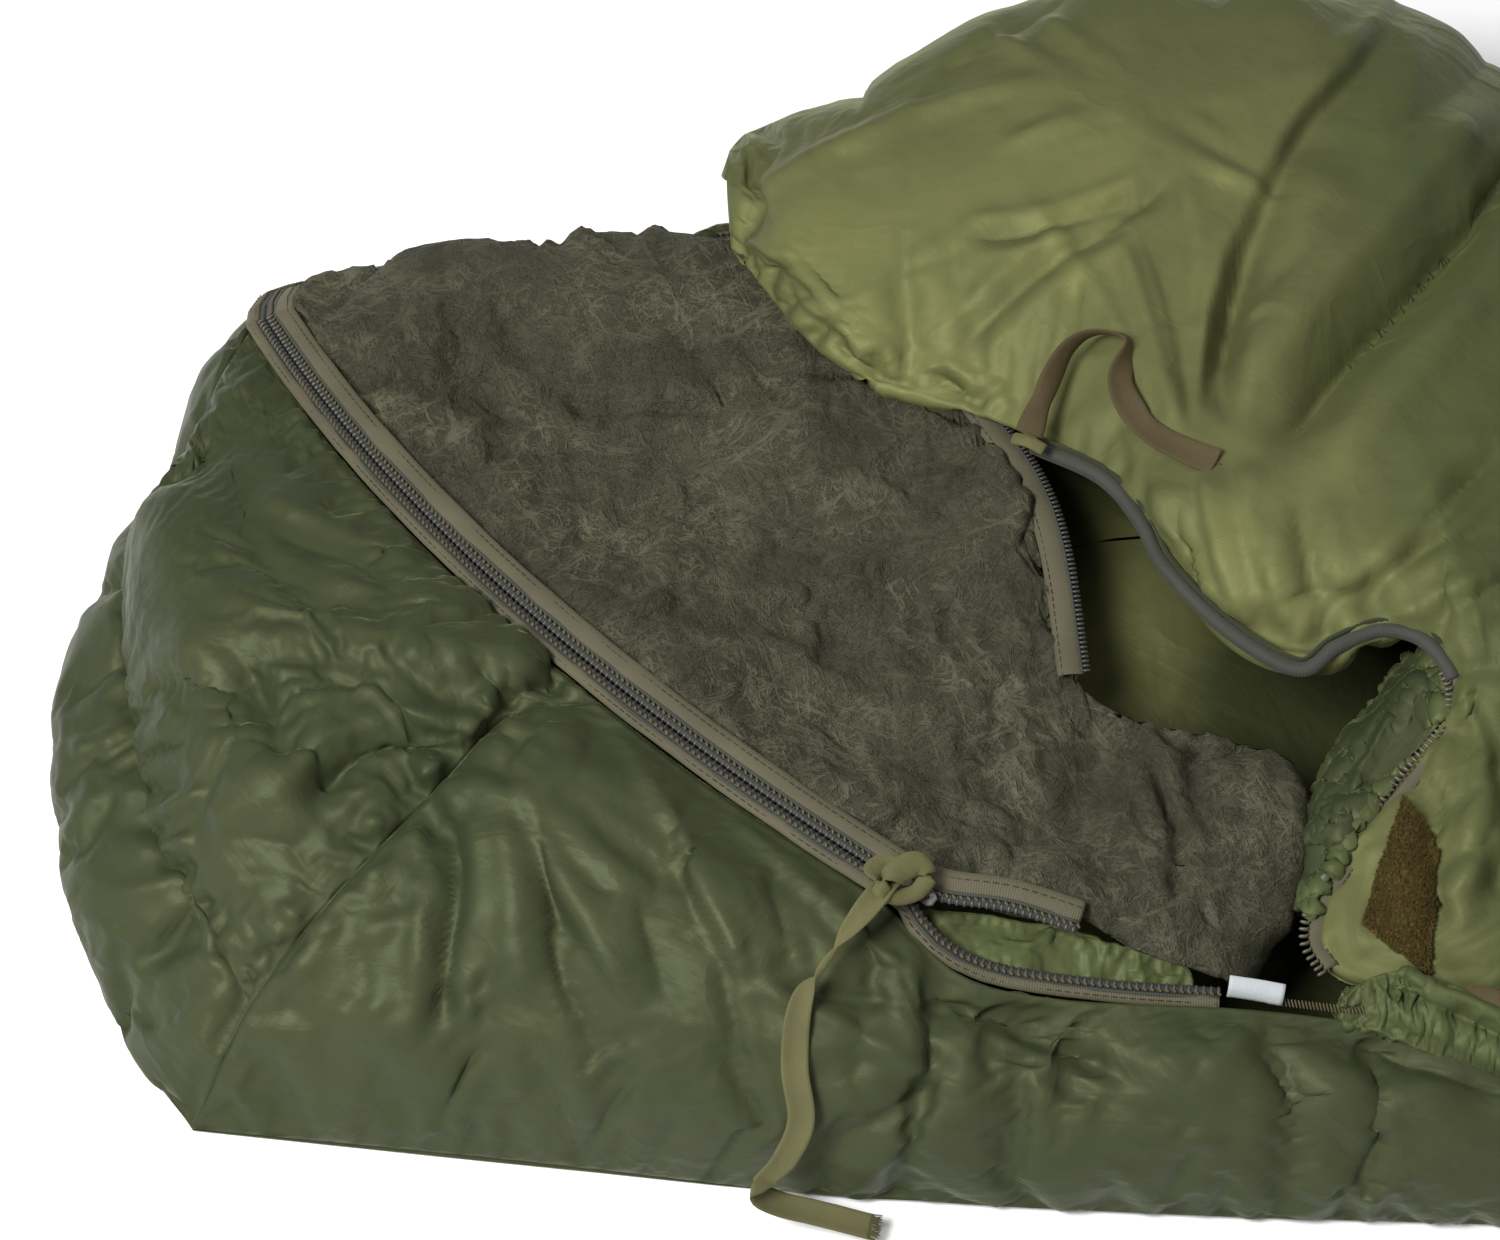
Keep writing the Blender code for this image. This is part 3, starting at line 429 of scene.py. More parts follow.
# ---- materials ----
class Nodes:
    """Short names for building a material's node tree."""

    def __init__(self, name):
        self.material = bpy.data.materials.new(name)
        self.material.use_nodes = True
        self.tree = self.material.node_tree
        self.shader = self.tree.nodes["Principled BSDF"]
        self.where = self.tree.nodes.new("ShaderNodeTexCoord")

    def add(self, kind, inputs=None, **settings):
        node = self.tree.nodes.new("ShaderNode" + kind)
        for key, value in settings.items():
            setattr(node, key, value)
        for key, value in (inputs or {}).items():
            self.feed(node.inputs[key], value)
        return node

    def feed(self, socket, value):
        if isinstance(value, bpy.types.NodeSocket):
            self.tree.links.new(value, socket)
        elif hasattr(value, "__len__") and len(value) == 3 and socket.type == "RGBA":
            socket.default_value = (*value, 1.0)
        else:
            socket.default_value = value

    def maths(self, operation, a, b=0.0, c=0.0):
        node = self.add("Math", operation=operation)
        for socket, value in zip(node.inputs, (a, b, c)):
            self.feed(socket, value)
        return node.outputs[0]

    def noise(self, scale, detail=3.0, distortion=0.0, vector=None, roughness=0.55):
        node = self.add("TexNoise", {"Scale": scale, "Detail": detail, "Distortion": distortion,
                                     "Roughness": roughness})
        self.feed(node.inputs["Vector"], vector or self.where.outputs["Object"])
        return node.outputs["Fac"]

    def stretched(self, factors, turn):
        """Object coordinates, turned about z and drawn out, for streaks."""
        node = self.add("Mapping", {"Vector": self.where.outputs["Object"]}, vector_type="TEXTURE")
        node.inputs["Scale"].default_value = tuple(1 / f for f in factors)
        node.inputs["Rotation"].default_value = (0, 0, turn)
        return node.outputs["Vector"]

    def ramp(self, value, low, high):
        node = self.add("MapRange", {"Value": value, "From Min": low, "From Max": high})
        return node.outputs["Result"]

    def mix(self, factor, a, b):
        node = self.add("Mix", data_type="RGBA", blend_type="MIX")
        self.feed(node.inputs["Factor"], factor)
        self.feed(node.inputs["A"], a)
        self.feed(node.inputs["B"], b)
        return node.outputs["Result"]

    def off_middle(self, value):
        """How far a noise is from its middle value: sharp creases between rounded fields."""
        return self.maths("ABSOLUTE", self.maths("SUBTRACT", value, 0.5))

    def threads(self, pitch_u, pitch_v):
        """Heights of a plain weave with those thread spacings, in metres, 0 to 1."""
        split = self.add("SeparateXYZ", {"Vector": self.where.outputs["UV"]})
        u = self.maths("SINE", self.maths("MULTIPLY", split.outputs["X"], math.tau / pitch_u))
        v = self.maths("SINE", self.maths("MULTIPLY", split.outputs["Y"], math.tau / pitch_v))
        return self.maths("MULTIPLY_ADD", self.maths("MULTIPLY", u, v), 0.5, 0.5)

    def ribs(self, pitch):
        split = self.add("SeparateXYZ", {"Vector": self.where.outputs["UV"]})
        wave = self.maths("SINE", self.maths("MULTIPLY", split.outputs["X"], math.tau / pitch))
        return self.maths("MULTIPLY_ADD", wave, 0.5, 0.5)

    def bump(self, *layers):
        """Layers of (height socket, distance in metres), the coarsest first."""
        normal = None
        for height, distance in layers:
            node = self.add("Bump", {"Height": height, "Distance": distance, "Strength": 1.0})
            if normal:
                self.feed(node.inputs["Normal"], normal)
            normal = node.outputs["Normal"]
        self.feed(self.shader.inputs["Normal"], normal)

    def tint_sheen(self, colour):
        self.feed(self.shader.inputs["Sheen Tint"], tuple(c / max(colour) for c in colour))

    def finish(self, colour, roughness, **values):
        """Connect what is left, set the other sockets named, and give back the material."""
        self.feed(self.shader.inputs["Base Color"], colour)
        self.feed(self.shader.inputs["Roughness"], roughness)
        for key, value in values.items():
            self.shader.inputs[key.replace("_", " ")].default_value = value
        return self.material


def taffeta(name, facing, grazing_shade, patch, sheen=0.10, wear=0.5, shade_colour=None, shade_from_x=-0.43, shade_to_x=-0.34,
            far_shade_from_y=9.0, far_shade_to_y=9.1):
    """Satin nylon taffeta, with a plain weave, soft crumples and cloudy colour, and painted sheen and shade
    in its colour.
    """
    n = Nodes(name)
    view = n.add("LayerWeight", {"Blend": 0.35}).outputs["Facing"]
    clouds = n.ramp(n.noise(9.0, 4, 0.6), 0.35, 0.68)
    streaks = n.ramp(n.noise(38.0, 5, 0.9, n.stretched((1.0, 0.35, 1.0), 0.5)), 0.40, 0.72)
    # painted sheen and shade: the colour is lighter where the cloth faces the camera and darker at grazing
    # angles
    colour = n.mix(n.ramp(view, 0.04, 0.60), facing, grazing_shade)
    colour = n.mix(n.maths("MULTIPLY", clouds, wear), colour, patch)
    colour = n.mix(n.maths("MULTIPLY", streaks, 0.22), colour, facing)
    # painted shade: past a given x, and more faintly past a given y, the colour is pulled towards a given
    # shade colour
    if shade_colour:
        place = n.add("SeparateXYZ", {"Vector": n.where.outputs["Object"]})
        wander = n.noise(7.0, 3, 0.6)
        right = n.ramp(n.maths("MULTIPLY_ADD", wander, 0.10, place.outputs["X"]), shade_from_x, shade_to_x)
        back = n.ramp(n.maths("MULTIPLY_ADD", wander, 0.16, place.outputs["Y"]), far_shade_from_y, far_shade_to_y)
        back = n.maths("MULTIPLY", back, 0.62)
        colour = n.mix(n.maths("MULTIPLY", n.maths("MAXIMUM", right, back), 0.85), colour, shade_colour)
    facets = n.off_middle(n.noise(13.0, 3, 0.9, roughness=0.5))
    ridged = n.off_middle(n.noise(30.0, 5, 1.2, n.stretched((1.0, 0.45, 0.8), 0.9), 0.58))
    fine = n.noise(85.0, 4, 1.0, roughness=0.6)
    n.bump((facets, -0.0050), (ridged, -0.0012), (fine, 0.00015), (n.threads(0.0006, 0.0006), 0.00003))
    rough = n.maths("MULTIPLY_ADD", clouds, 0.10, 0.42)
    n.tint_sheen(facing)
    n.feed(n.shader.inputs["Specular Tint"], tuple(0.25 + 0.75 * c / max(facing) for c in facing))
    return n.finish(colour, rough, Sheen_Weight=sheen, Sheen_Roughness=0.35, Specular_IOR_Level=0.17)


def woven(name, colour, dark, pitch, rough=0.75, depth=0.00018):
    """Tape or webbing with visible threads, and a little fading."""
    n = Nodes(name)
    threads = n.threads(*pitch)
    worn = n.ramp(n.noise(30.0, 5, 0.4), 0.35, 0.70)
    base = n.mix(n.maths("MULTIPLY", worn, 0.45), colour, dark)
    base = n.mix(n.maths("MULTIPLY", n.maths("SUBTRACT", 1.0, threads), 0.55), base, dark)
    n.bump((n.noise(160.0, 4), 0.0006), (threads, depth))
    n.tint_sheen(colour)
    return n.finish(base, rough, Sheen_Weight=0.10, Sheen_Roughness=0.5, Specular_IOR_Level=0.2)


def ribbed(name, colour, dark):
    """Grosgrain zip tape, ribbed across its length."""
    n = Nodes(name)
    ribs = n.ribs(0.0012)
    worn = n.ramp(n.noise(26.0, 5, 0.4), 0.35, 0.70)
    base = n.mix(n.maths("MULTIPLY", worn, 0.4), colour, dark)
    base = n.mix(n.maths("MULTIPLY", n.maths("SUBTRACT", 1.0, ribs), 0.25), base, dark)
    n.bump((n.noise(120.0, 4), 0.0005), (ribs, 0.00015))
    n.tint_sheen(colour)
    return n.finish(base, 0.7, Sheen_Weight=0.08, Sheen_Roughness=0.5, Specular_IOR_Level=0.2)


def netting(name, light, dark, opacity):
    """Fine crushed insect mesh: thin creases painted pale as highlights, cloudy dark patches painted as the
    shade of its hollows, a knitted grain, and small holes.
    """
    n = Nodes(name)
    creases = None
    for turn, scale, stretch in ((0.35, 60.0, 0.16), (1.25, 85.0, 0.14), (2.20, 70.0, 0.18),
                                 (2.85, 120.0, 0.22)):
        line = n.noise(scale, 5, 0.7, n.stretched((1.0, stretch, 0.6), turn), 0.62)
        line = n.ramp(n.off_middle(line), 0.034, 0.004)
        creases = line if creases is None else n.maths("MAXIMUM", creases, line)
    crush = n.noise(22.0, 6, 0.9, roughness=0.62)
    clouds = n.ramp(n.noise(11.0, 5, 0.7, n.stretched((1.6, 0.7, 1.0), 0.2)), 0.38, 0.64)
    shown = n.ramp(n.noise(17.0, 4, 0.5), 0.40, 0.62)
    grain = n.threads(0.0016, 0.0013)
    # painted shade: cloudy dark patches stand in for the shade in the net's hollows
    base = n.mix(n.maths("MULTIPLY", clouds, 0.85), light, dark)
    # painted highlight: the creases are painted paler, as if catching the light
    base = n.mix(n.maths("MULTIPLY", n.maths("MULTIPLY", creases, shown), 0.55), base,
                 tuple(min(1.0, c * 2.6) for c in light))
    base = n.mix(n.maths("MULTIPLY", grain, 0.30), base, dark)
    n.bump((crush, 0.0040), (creases, 0.0007), (grain, 0.00012))
    hole = n.maths("MULTIPLY_ADD", grain, 0.16, opacity - 0.08)
    n.feed(n.shader.inputs["Alpha"], hole)
    n.feed(n.shader.inputs["Sheen Tint"], tuple(min(1.0, c * 8) for c in light))
    return n.finish(base, 0.60, Sheen_Weight=0.08, Sheen_Roughness=0.4, Specular_IOR_Level=0.12)


def plastic(name, colour, rough=0.42):
    """Nylon of a zip's coil."""
    n = Nodes(name)
    mottled = n.ramp(n.noise(220.0, 4), 0.3, 0.7)
    base = n.mix(n.maths("MULTIPLY", mottled, 0.35), colour, tuple(c * 0.55 for c in colour))
    n.bump((n.noise(900.0, 3), 0.00005))
    return n.finish(base, rough, Specular_IOR_Level=0.5)


def metal(name, colour, worn):
    """Painted zinc, rubbed bright in places."""
    n = Nodes(name)
    rubbed = n.ramp(n.noise(180.0, 5, 0.6), 0.52, 0.66)
    n.bump((n.noise(700.0, 3), 0.00004))
    n.feed(n.shader.inputs["Metallic"], n.maths("MULTIPLY_ADD", rubbed, 0.6, 0.35))
    return n.finish(n.mix(rubbed, colour, worn), n.maths("MULTIPLY_ADD", rubbed, -0.12, 0.42))


def fuzzy(name, colour, pale):
    """Hook-and-loop pile."""
    n = Nodes(name)
    tufts = n.noise(420.0, 5, 1.2, roughness=0.7)
    base = n.mix(n.ramp(tufts, 0.42, 0.66), colour, pale)
    n.bump((n.noise(150.0, 4), 0.001), (tufts, 0.0009))
    n.tint_sheen(pale)
    return n.finish(base, 0.9, Sheen_Weight=0.12, Sheen_Roughness=0.6, Specular_IOR_Level=0.1)


# In each taffeta the first colour is the lit one, with painted sheen where the cloth faces the camera, and
# the second a copy in painted shade for grazing angles.
SHELL = taffeta("shell_taffeta", (0.038, 0.043, 0.020), (0.017, 0.022, 0.010), (0.024, 0.029, 0.014))
COVER = taffeta("cover_taffeta", (0.047, 0.052, 0.022), (0.022, 0.027, 0.012), (0.033, 0.038, 0.017))
LIGHT = taffeta("lining_taffeta", (0.138, 0.142, 0.050), (0.062, 0.070, 0.027), (0.092, 0.100, 0.037), 0.12)
# painted shade on the cover's lining: darker past x -0.475 to -0.385, beyond the flap's crease, and towards
# the far side past y 0.22 to 0.38
FLAP_CLOTH = taffeta("cover_lining_taffeta", (0.120, 0.124, 0.046), (0.050, 0.056, 0.022),
                     (0.056, 0.062, 0.025),
                     0.12, 0.75, (0.044, 0.054, 0.021), -0.475, -0.385, 0.22, 0.38)
# painted shadow on the pad's lining: darker from x -0.56 to -0.50 on, under the flap's edge
PAD_CLOTH = taffeta("pad_lining_taffeta", (0.112, 0.118, 0.043), (0.050, 0.057, 0.022),
                    (0.070, 0.078, 0.030), 0.12,
                    0.6, (0.016, 0.018, 0.008), -0.560, -0.500)
NET = netting("insect_net_mesh", (0.054, 0.051, 0.032), (0.024, 0.025, 0.015), 0.95)
TAPE = ribbed("khaki_zip_tape", (0.087, 0.079, 0.048), (0.048, 0.044, 0.028))
DARK_TAPE = ribbed("grey_zip_tape", (0.044, 0.046, 0.038), (0.018, 0.019, 0.016))
COIL = plastic("zip_coil_nylon", (0.034, 0.034, 0.027))
CORE = plastic("zip_coil_core", (0.014, 0.014, 0.011), 0.7)
THREAD = woven("stitch_thread", (0.150, 0.130, 0.072), (0.075, 0.066, 0.036), (0.0004, 0.0004), 0.6)
GREEN_THREAD = woven("green_thread", (0.032, 0.038, 0.019), (0.016, 0.019, 0.010), (0.0004, 0.0004))
PULL = woven("pull_tape_weave", (0.118, 0.110, 0.047), (0.056, 0.053, 0.022), (0.0013, 0.0009))
WEBBING = woven("brown_webbing", (0.078, 0.058, 0.026), (0.034, 0.026, 0.012), (0.0016, 0.0011))
FUZZ = fuzzy("hook_and_loop_pile", (0.034, 0.024, 0.007), (0.100, 0.074, 0.022))
METAL = metal("slider_paint", (0.060, 0.060, 0.050), (0.28, 0.27, 0.25))
BRIGHT = metal("stop_metal", (0.16, 0.16, 0.18), (0.38, 0.38, 0.42))
DRAFT = taffeta("draft_taffeta", (0.060, 0.070, 0.028), (0.028, 0.035, 0.014), (0.040, 0.048, 0.020))
COIL_PALE = plastic("zip_coil_pale", (0.075, 0.070, 0.048))
LABEL = woven("blank_label", (0.42, 0.44, 0.45), (0.26, 0.28, 0.29), (0.0005, 0.0005), 0.5, 0.00005)


# ---- padded panels ----
def joined(*grids):
    """Grids that share a border row, as one."""
    return np.concatenate([grids[0]] + [g[1:] for g in grids[1:]])


def gather(shape, borders, reach):
    """Weights that fall from 1 on the chosen borders (start, end, left, right) to 0 inside."""
    n, m = shape
    i, k = np.meshgrid(np.arange(n), np.arange(m), indexing="ij")
    far = {"start": i, "end": n - 1 - i, "left": k, "right": m - 1 - k}
    w = np.zeros(shape)
    for side in borders:
        w = np.maximum(w, np.clip(1 - far[side] / reach, 0, 1))
    return w.ravel()


SHELL_STIFFNESS, SHELL_BENDING = 40, 0.05
SEAM_REACH = 12  # rows over which the gathers at a seam die out,
CALM_REACH = 9  # rows over which the padding rises beside a zip,
FOLD_FREE_REACH = 14  # and rows of the finer grid over which the folds begin there
FOLD_LIMIT = 0.013  # how far a fold may rise from the settled cloth
FLOOR_GAP = 0.0012
SOFT_TOP = 0.184  # the padding eases off above this height,
TOP_EASE = 0.006  # and rises no more than this beyond it
HEM_ROWS = 9


def finer(grid):
    """The grid with a smoothly interpolated point between each two, both ways."""
    for _ in range(2):
        padded = np.concatenate([2 * grid[:1] - grid[1:2], grid, 2 * grid[-1:] - grid[-2:-1]])
        middle = (9 * (padded[1:-2] + padded[2:-1]) - padded[:-3] - padded[3:]) / 16
        out = np.zeros((2 * len(grid) - 1,) + grid.shape[1:])
        out[::2], out[1::2] = grid, middle
        grid = np.swapaxes(out, 0, 1)
    return grid


def quilted_cloth(name, grid, depth, folds, grow, extra, seams, limits, pressure=20.0, frames=16, calm=(),
                  crumples=0.0, fine=True):
    """The outer cloth and the lining of a padded panel: settled by simulation, then creased.

    The cloth is cut larger by grow, and by extra at its seams. It lies flat by the calm borders.
    """
    obj = grid_object(name, grid, SHELL)
    start = (points_of(obj), normals_of(obj))
    shape = grid.shape[:2]
    settle(obj, rim_weights(shape), grow, pressure, frames, SHELL_STIFFNESS, SHELL_BENDING,
           loose=gather(shape, seams, SEAM_REACH), extra=extra)
    cap_travel(obj, start, *limits)
    if calm:  # sewn flat beside a zip
        ease = np.sqrt(1 - gather(shape, calm, CALM_REACH))[:, None]
        set_points(obj, start[0] + (points_of(obj) - start[0]) * ease)
    if fine:
        rows = finer(points_of(obj).reshape(*shape, 3))
        bpy.data.objects.remove(obj)
        obj, shape = grid_object(name, rows, SHELL), rows.shape[:2]
    edge = 1 - gather(shape, ("start", "end", "left", "right"), 4 if fine else 2)
    if calm:
        edge *= 1 - gather(shape, calm, FOLD_FREE_REACH)
    outer, normal = points_of(obj), normals_of(obj)
    bpy.data.objects.remove(obj)
    raised = fold_offsets(outer, folds)
    if crumples:
        raised += ((crumple(outer, 0.075, 3) - 0.35) * crumples
                   + (crumple(outer, 0.030, 9) - 0.35) * crumples * 0.5)
    raised = np.where(raised > 0, FOLD_LIMIT * np.tanh(raised / FOLD_LIMIT), raised) * edge
    inner = outer - normal * (depth - np.minimum(raised, 0))[:, None]
    outer += normal * raised[:, None]
    for layer in (outer, inner):  # the cloth lies on the floor, and the padding can only rise so far
        layer[:, 2] = np.maximum(layer[:, 2], FLOOR_GAP)
        over = np.maximum(layer[:, 2] - SOFT_TOP, 0)
        layer[:, 2] -= over - TOP_EASE * np.tanh(over / TOP_EASE)
    return outer.reshape(*shape, 3), inner.reshape(*shape, 3)


def quilt(name, grid, material, lining, *cut, nodes=(), body="sack", slot="shell_fabric", fill=0.7,
          **settling):
    """A padded panel in place of the CAD nodes named; cut and settling are quilted_cloth's."""
    outer, inner = quilted_cloth(name, grid, *cut, **settling)
    dress_quilt(filled_panel(name, outer, inner, material, lining), nodes, body)


def filled_panel(name, outer, inner, material, lining):
    """One closed panel: the creased cloth outside, the smoother lining inside, and a hem between."""
    n, m = outer.shape[:2]
    quads = grid_quads(outer)
    index = np.arange(n * m).reshape(n, m)
    ring = np.concatenate([index[0, :-1], index[:-1, -1], index[-1, :0:-1], index[:0:-1, 0]])
    after = np.roll(ring, -1)
    forward = set(zip(quads.ravel().tolist(), np.roll(quads, -1, 1).ravel().tolist()))
    if (int(ring[0]), int(after[0])) in forward:
        ring, after = after, ring
    hem = np.stack([ring, after, after + n * m, ring + n * m], 1)
    faces = np.concatenate([quads, quads[:, ::-1] + n * m, hem])
    points = np.concatenate([outer.reshape(-1, 3), inner.reshape(-1, 3)])
    lengths = np.stack([part.ravel() for part in grid_lengths(outer)], 1)
    obj = mesh_object(name, points, faces.tolist(), [material, lining], np.tile(lengths, (2, 1)))
    inside = np.zeros((n - 1, m - 1), np.int32)  # the outer cloth is turned in around the border
    inside[HEM_ROWS:-HEM_ROWS, HEM_ROWS:-HEM_ROWS] = 1
    cloths = np.zeros(len(faces), np.int32)
    cloths[len(quads):2 * len(quads)] = inside.ravel()
    obj.data.polygons.foreach_set("material_index", cloths)
    return obj


def dress_quilt(obj, nodes, body=None):
    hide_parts(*nodes)
    if body:
        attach(obj, body)


def layers(name):
    """The CAD nodes that one padded panel stands for."""
    return [name + "_outer", name + "_wadding", name + "_lining"]


HALF_OFFSET = 0.00305  # middle of one half of the chain, from the zip's line
PANEL_EDGE = 0.0105  # where a panel is sewn to the tape, from the zip's line,
TAPE_DROP = -0.003  # and how far below the line
EDGE_HEIGHT = 0.004  # of the walls' lower seams above the floor
SEAM_A = [(-0.892, -0.152, 0.126), (-0.928, -0.195, 0.120), (-0.972, -0.242, 0.104),
          (-1.010, -0.275, 0.068)]
CORNER = [(-1.026, -0.290, 0.036), (-1.041, -0.302, 0.004)]

# folds as seen from the near side: kind, height, width, route on the fold level
HOOD_FOLDS = [
    ("tuck", 0.007, 0.008, [(-1.034, 0.006), (-1.003, -0.007), (-0.962, -0.033), (-0.932, -0.040)]),
    ("tuck", 0.006, 0.008, [(-1.000, -0.053), (-0.961, -0.059), (-0.916, -0.072), (-0.886, -0.078)]),
    ("ridge", 0.006, 0.012, [(-0.954, -0.085), (-0.925, -0.094), (-0.881, -0.091)]),
    ("valley", 0.008, 0.007, [(-0.990, -0.190), (-0.969, -0.158), (-0.935, -0.150), (-0.914, -0.163)]),
    ("valley", 0.009, 0.006, [(-0.868, -0.112), (-0.890, -0.120), (-0.901, -0.138)]),
    ("ridge", 0.007, 0.013, [(-1.060, -0.060), (-1.040, -0.110), (-1.010, -0.160), (-0.990, -0.215)]),
    ("valley", 0.006, 0.010, [(-1.030, -0.090), (-1.010, -0.130), (-0.994, -0.170)]),
]
SEAM_A_SEEN = [(-0.871, -0.116), (-0.893, -0.140), (-0.912, -0.161), (-0.935, -0.176), (-0.960, -0.229),
               (-1.005, -0.296)]
SEAM_B_SEEN = [(-1.084, -0.146), (-1.061, -0.182), (-1.046, -0.251), (-1.027, -0.300)]
HOOD_FOLDS += puckers(SEAM_A_SEEN, 15, 0.034, 0.0050, 0.0050, 41)
HOOD_FOLDS += puckers(SEAM_A_SEEN[:4], 6, 0.060, 0.0060, 0.0070, 42, 0.25)
HOOD_FOLDS += puckers(SEAM_B_SEEN, 10, 0.036, 0.0050, 0.0055, 43)
HOOD_FOLDS += fan((-0.905, -0.150), 150, 48, 6, 0.110, 0.0045, 0.008, 44)
HOOD_FOLDS += fan((-1.050, -0.220), 62, 34, 6, 0.130, 0.0045, 0.009, 45)
HOOD_FOLDS += litter((-1.080, -0.130), (-0.920, 0.060), 9, 150, 24, 0.110, 0.0030, 0.0065, 46)
HOOD_FOLDS += puckers([(-1.040, 0.080), (-0.985, 0.010), (-0.930, -0.050), (-0.880, -0.105)], 9, 0.026,
                      0.0022,
                      0.0050, 47)
GUSSET_FOLDS = puckers(SEAM_B_SEEN + [(-1.010, -0.310)], 11, 0.030, 0.004, 0.0050, 48)
GUSSET_FOLDS += litter((-1.110, -0.300), (-1.040, 0.060), 9, 80, 24, 0.070, 0.003, 0.0065, 49)
SIDE_FOLDS = [
    ("tuck", 0.012, 0.007, [(-0.899, -0.150), (-0.875, -0.217), (-0.848, -0.274), (-0.829, -0.305)]),
    ("tuck", 0.015, 0.007, [(-0.852, -0.120), (-0.827, -0.182), (-0.803, -0.240), (-0.778, -0.300)]),
    ("tuck", 0.013, 0.007, [(-0.815, -0.150), (-0.775, -0.211), (-0.730, -0.262), (-0.680, -0.305)]),
    ("valley", 0.010, 0.006, [(-0.925, -0.182), (-0.916, -0.229), (-0.919, -0.274), (-0.918, -0.320)]),
    ("ridge", 0.005, 0.010, [(-0.900, -0.170), (-0.890, -0.235), (-0.882, -0.300)]),
    ("tuck", 0.006, 0.007, [(-0.943, -0.205), (-0.973, -0.240), (-0.997, -0.280), (-1.004, -0.300)]),
    ("valley", 0.005, 0.006, [(-0.878, -0.190), (-0.859, -0.223), (-0.838, -0.242)]),
    ("tuck", -0.012, 0.008, [(-0.745, -0.240), (-0.699, -0.290), (-0.650, -0.322), (-0.600, -0.350)]),
    ("tuck", -0.011, 0.008, [(-0.708, -0.301), (-0.668, -0.306), (-0.620, -0.315)]),
    ("valley", 0.007, 0.009, [(-0.585, -0.280), (-0.537, -0.300), (-0.490, -0.328), (-0.430, -0.352)]),
    ("ridge", 0.007, 0.014, [(-0.625, -0.345), (-0.580, -0.336), (-0.530, -0.348), (-0.448, -0.352)]),
    ("valley", 0.006, 0.008, [(-0.749, -0.375), (-0.714, -0.355), (-0.686, -0.325)]),
    ("ridge", 0.005, 0.012, [(-0.960, -0.290), (-0.930, -0.325), (-0.890, -0.345)]),
]
SIDE_FOLDS += puckers(SEAM_A_SEEN, 15, 0.034, 0.0050, 0.0050, 41)
SIDE_FOLDS += puckers(SEAM_A_SEEN[:4], 6, 0.060, 0.0060, 0.0070, 42, 0.25)
SIDE_FOLDS += fan((-0.900, -0.150), -62, 46, 9, 0.200, 0.0050, 0.008, 51)
SIDE_FOLDS += litter((-1.000, -0.380), (-0.760, -0.220), 8, -60, 22, 0.100, 0.003, 0.0065, 52)
SIDE_FOLDS += litter((-0.760, -0.385), (-0.330, -0.285), 18, -24, 20, 0.130, 0.0042, 0.0070, 53)
SIDE_FOLDS += puckers([(-0.860, -0.125), (-0.810, -0.175), (-0.760, -0.220), (-0.715, -0.250)], 9, 0.030,
                      0.0022,
                      0.0050, 54)
SIDE_FOLDS += litter((-0.300, -0.420), (0.780, -0.330), 40, -4, 14, 0.130, 0.0045, 0.0080, 55)


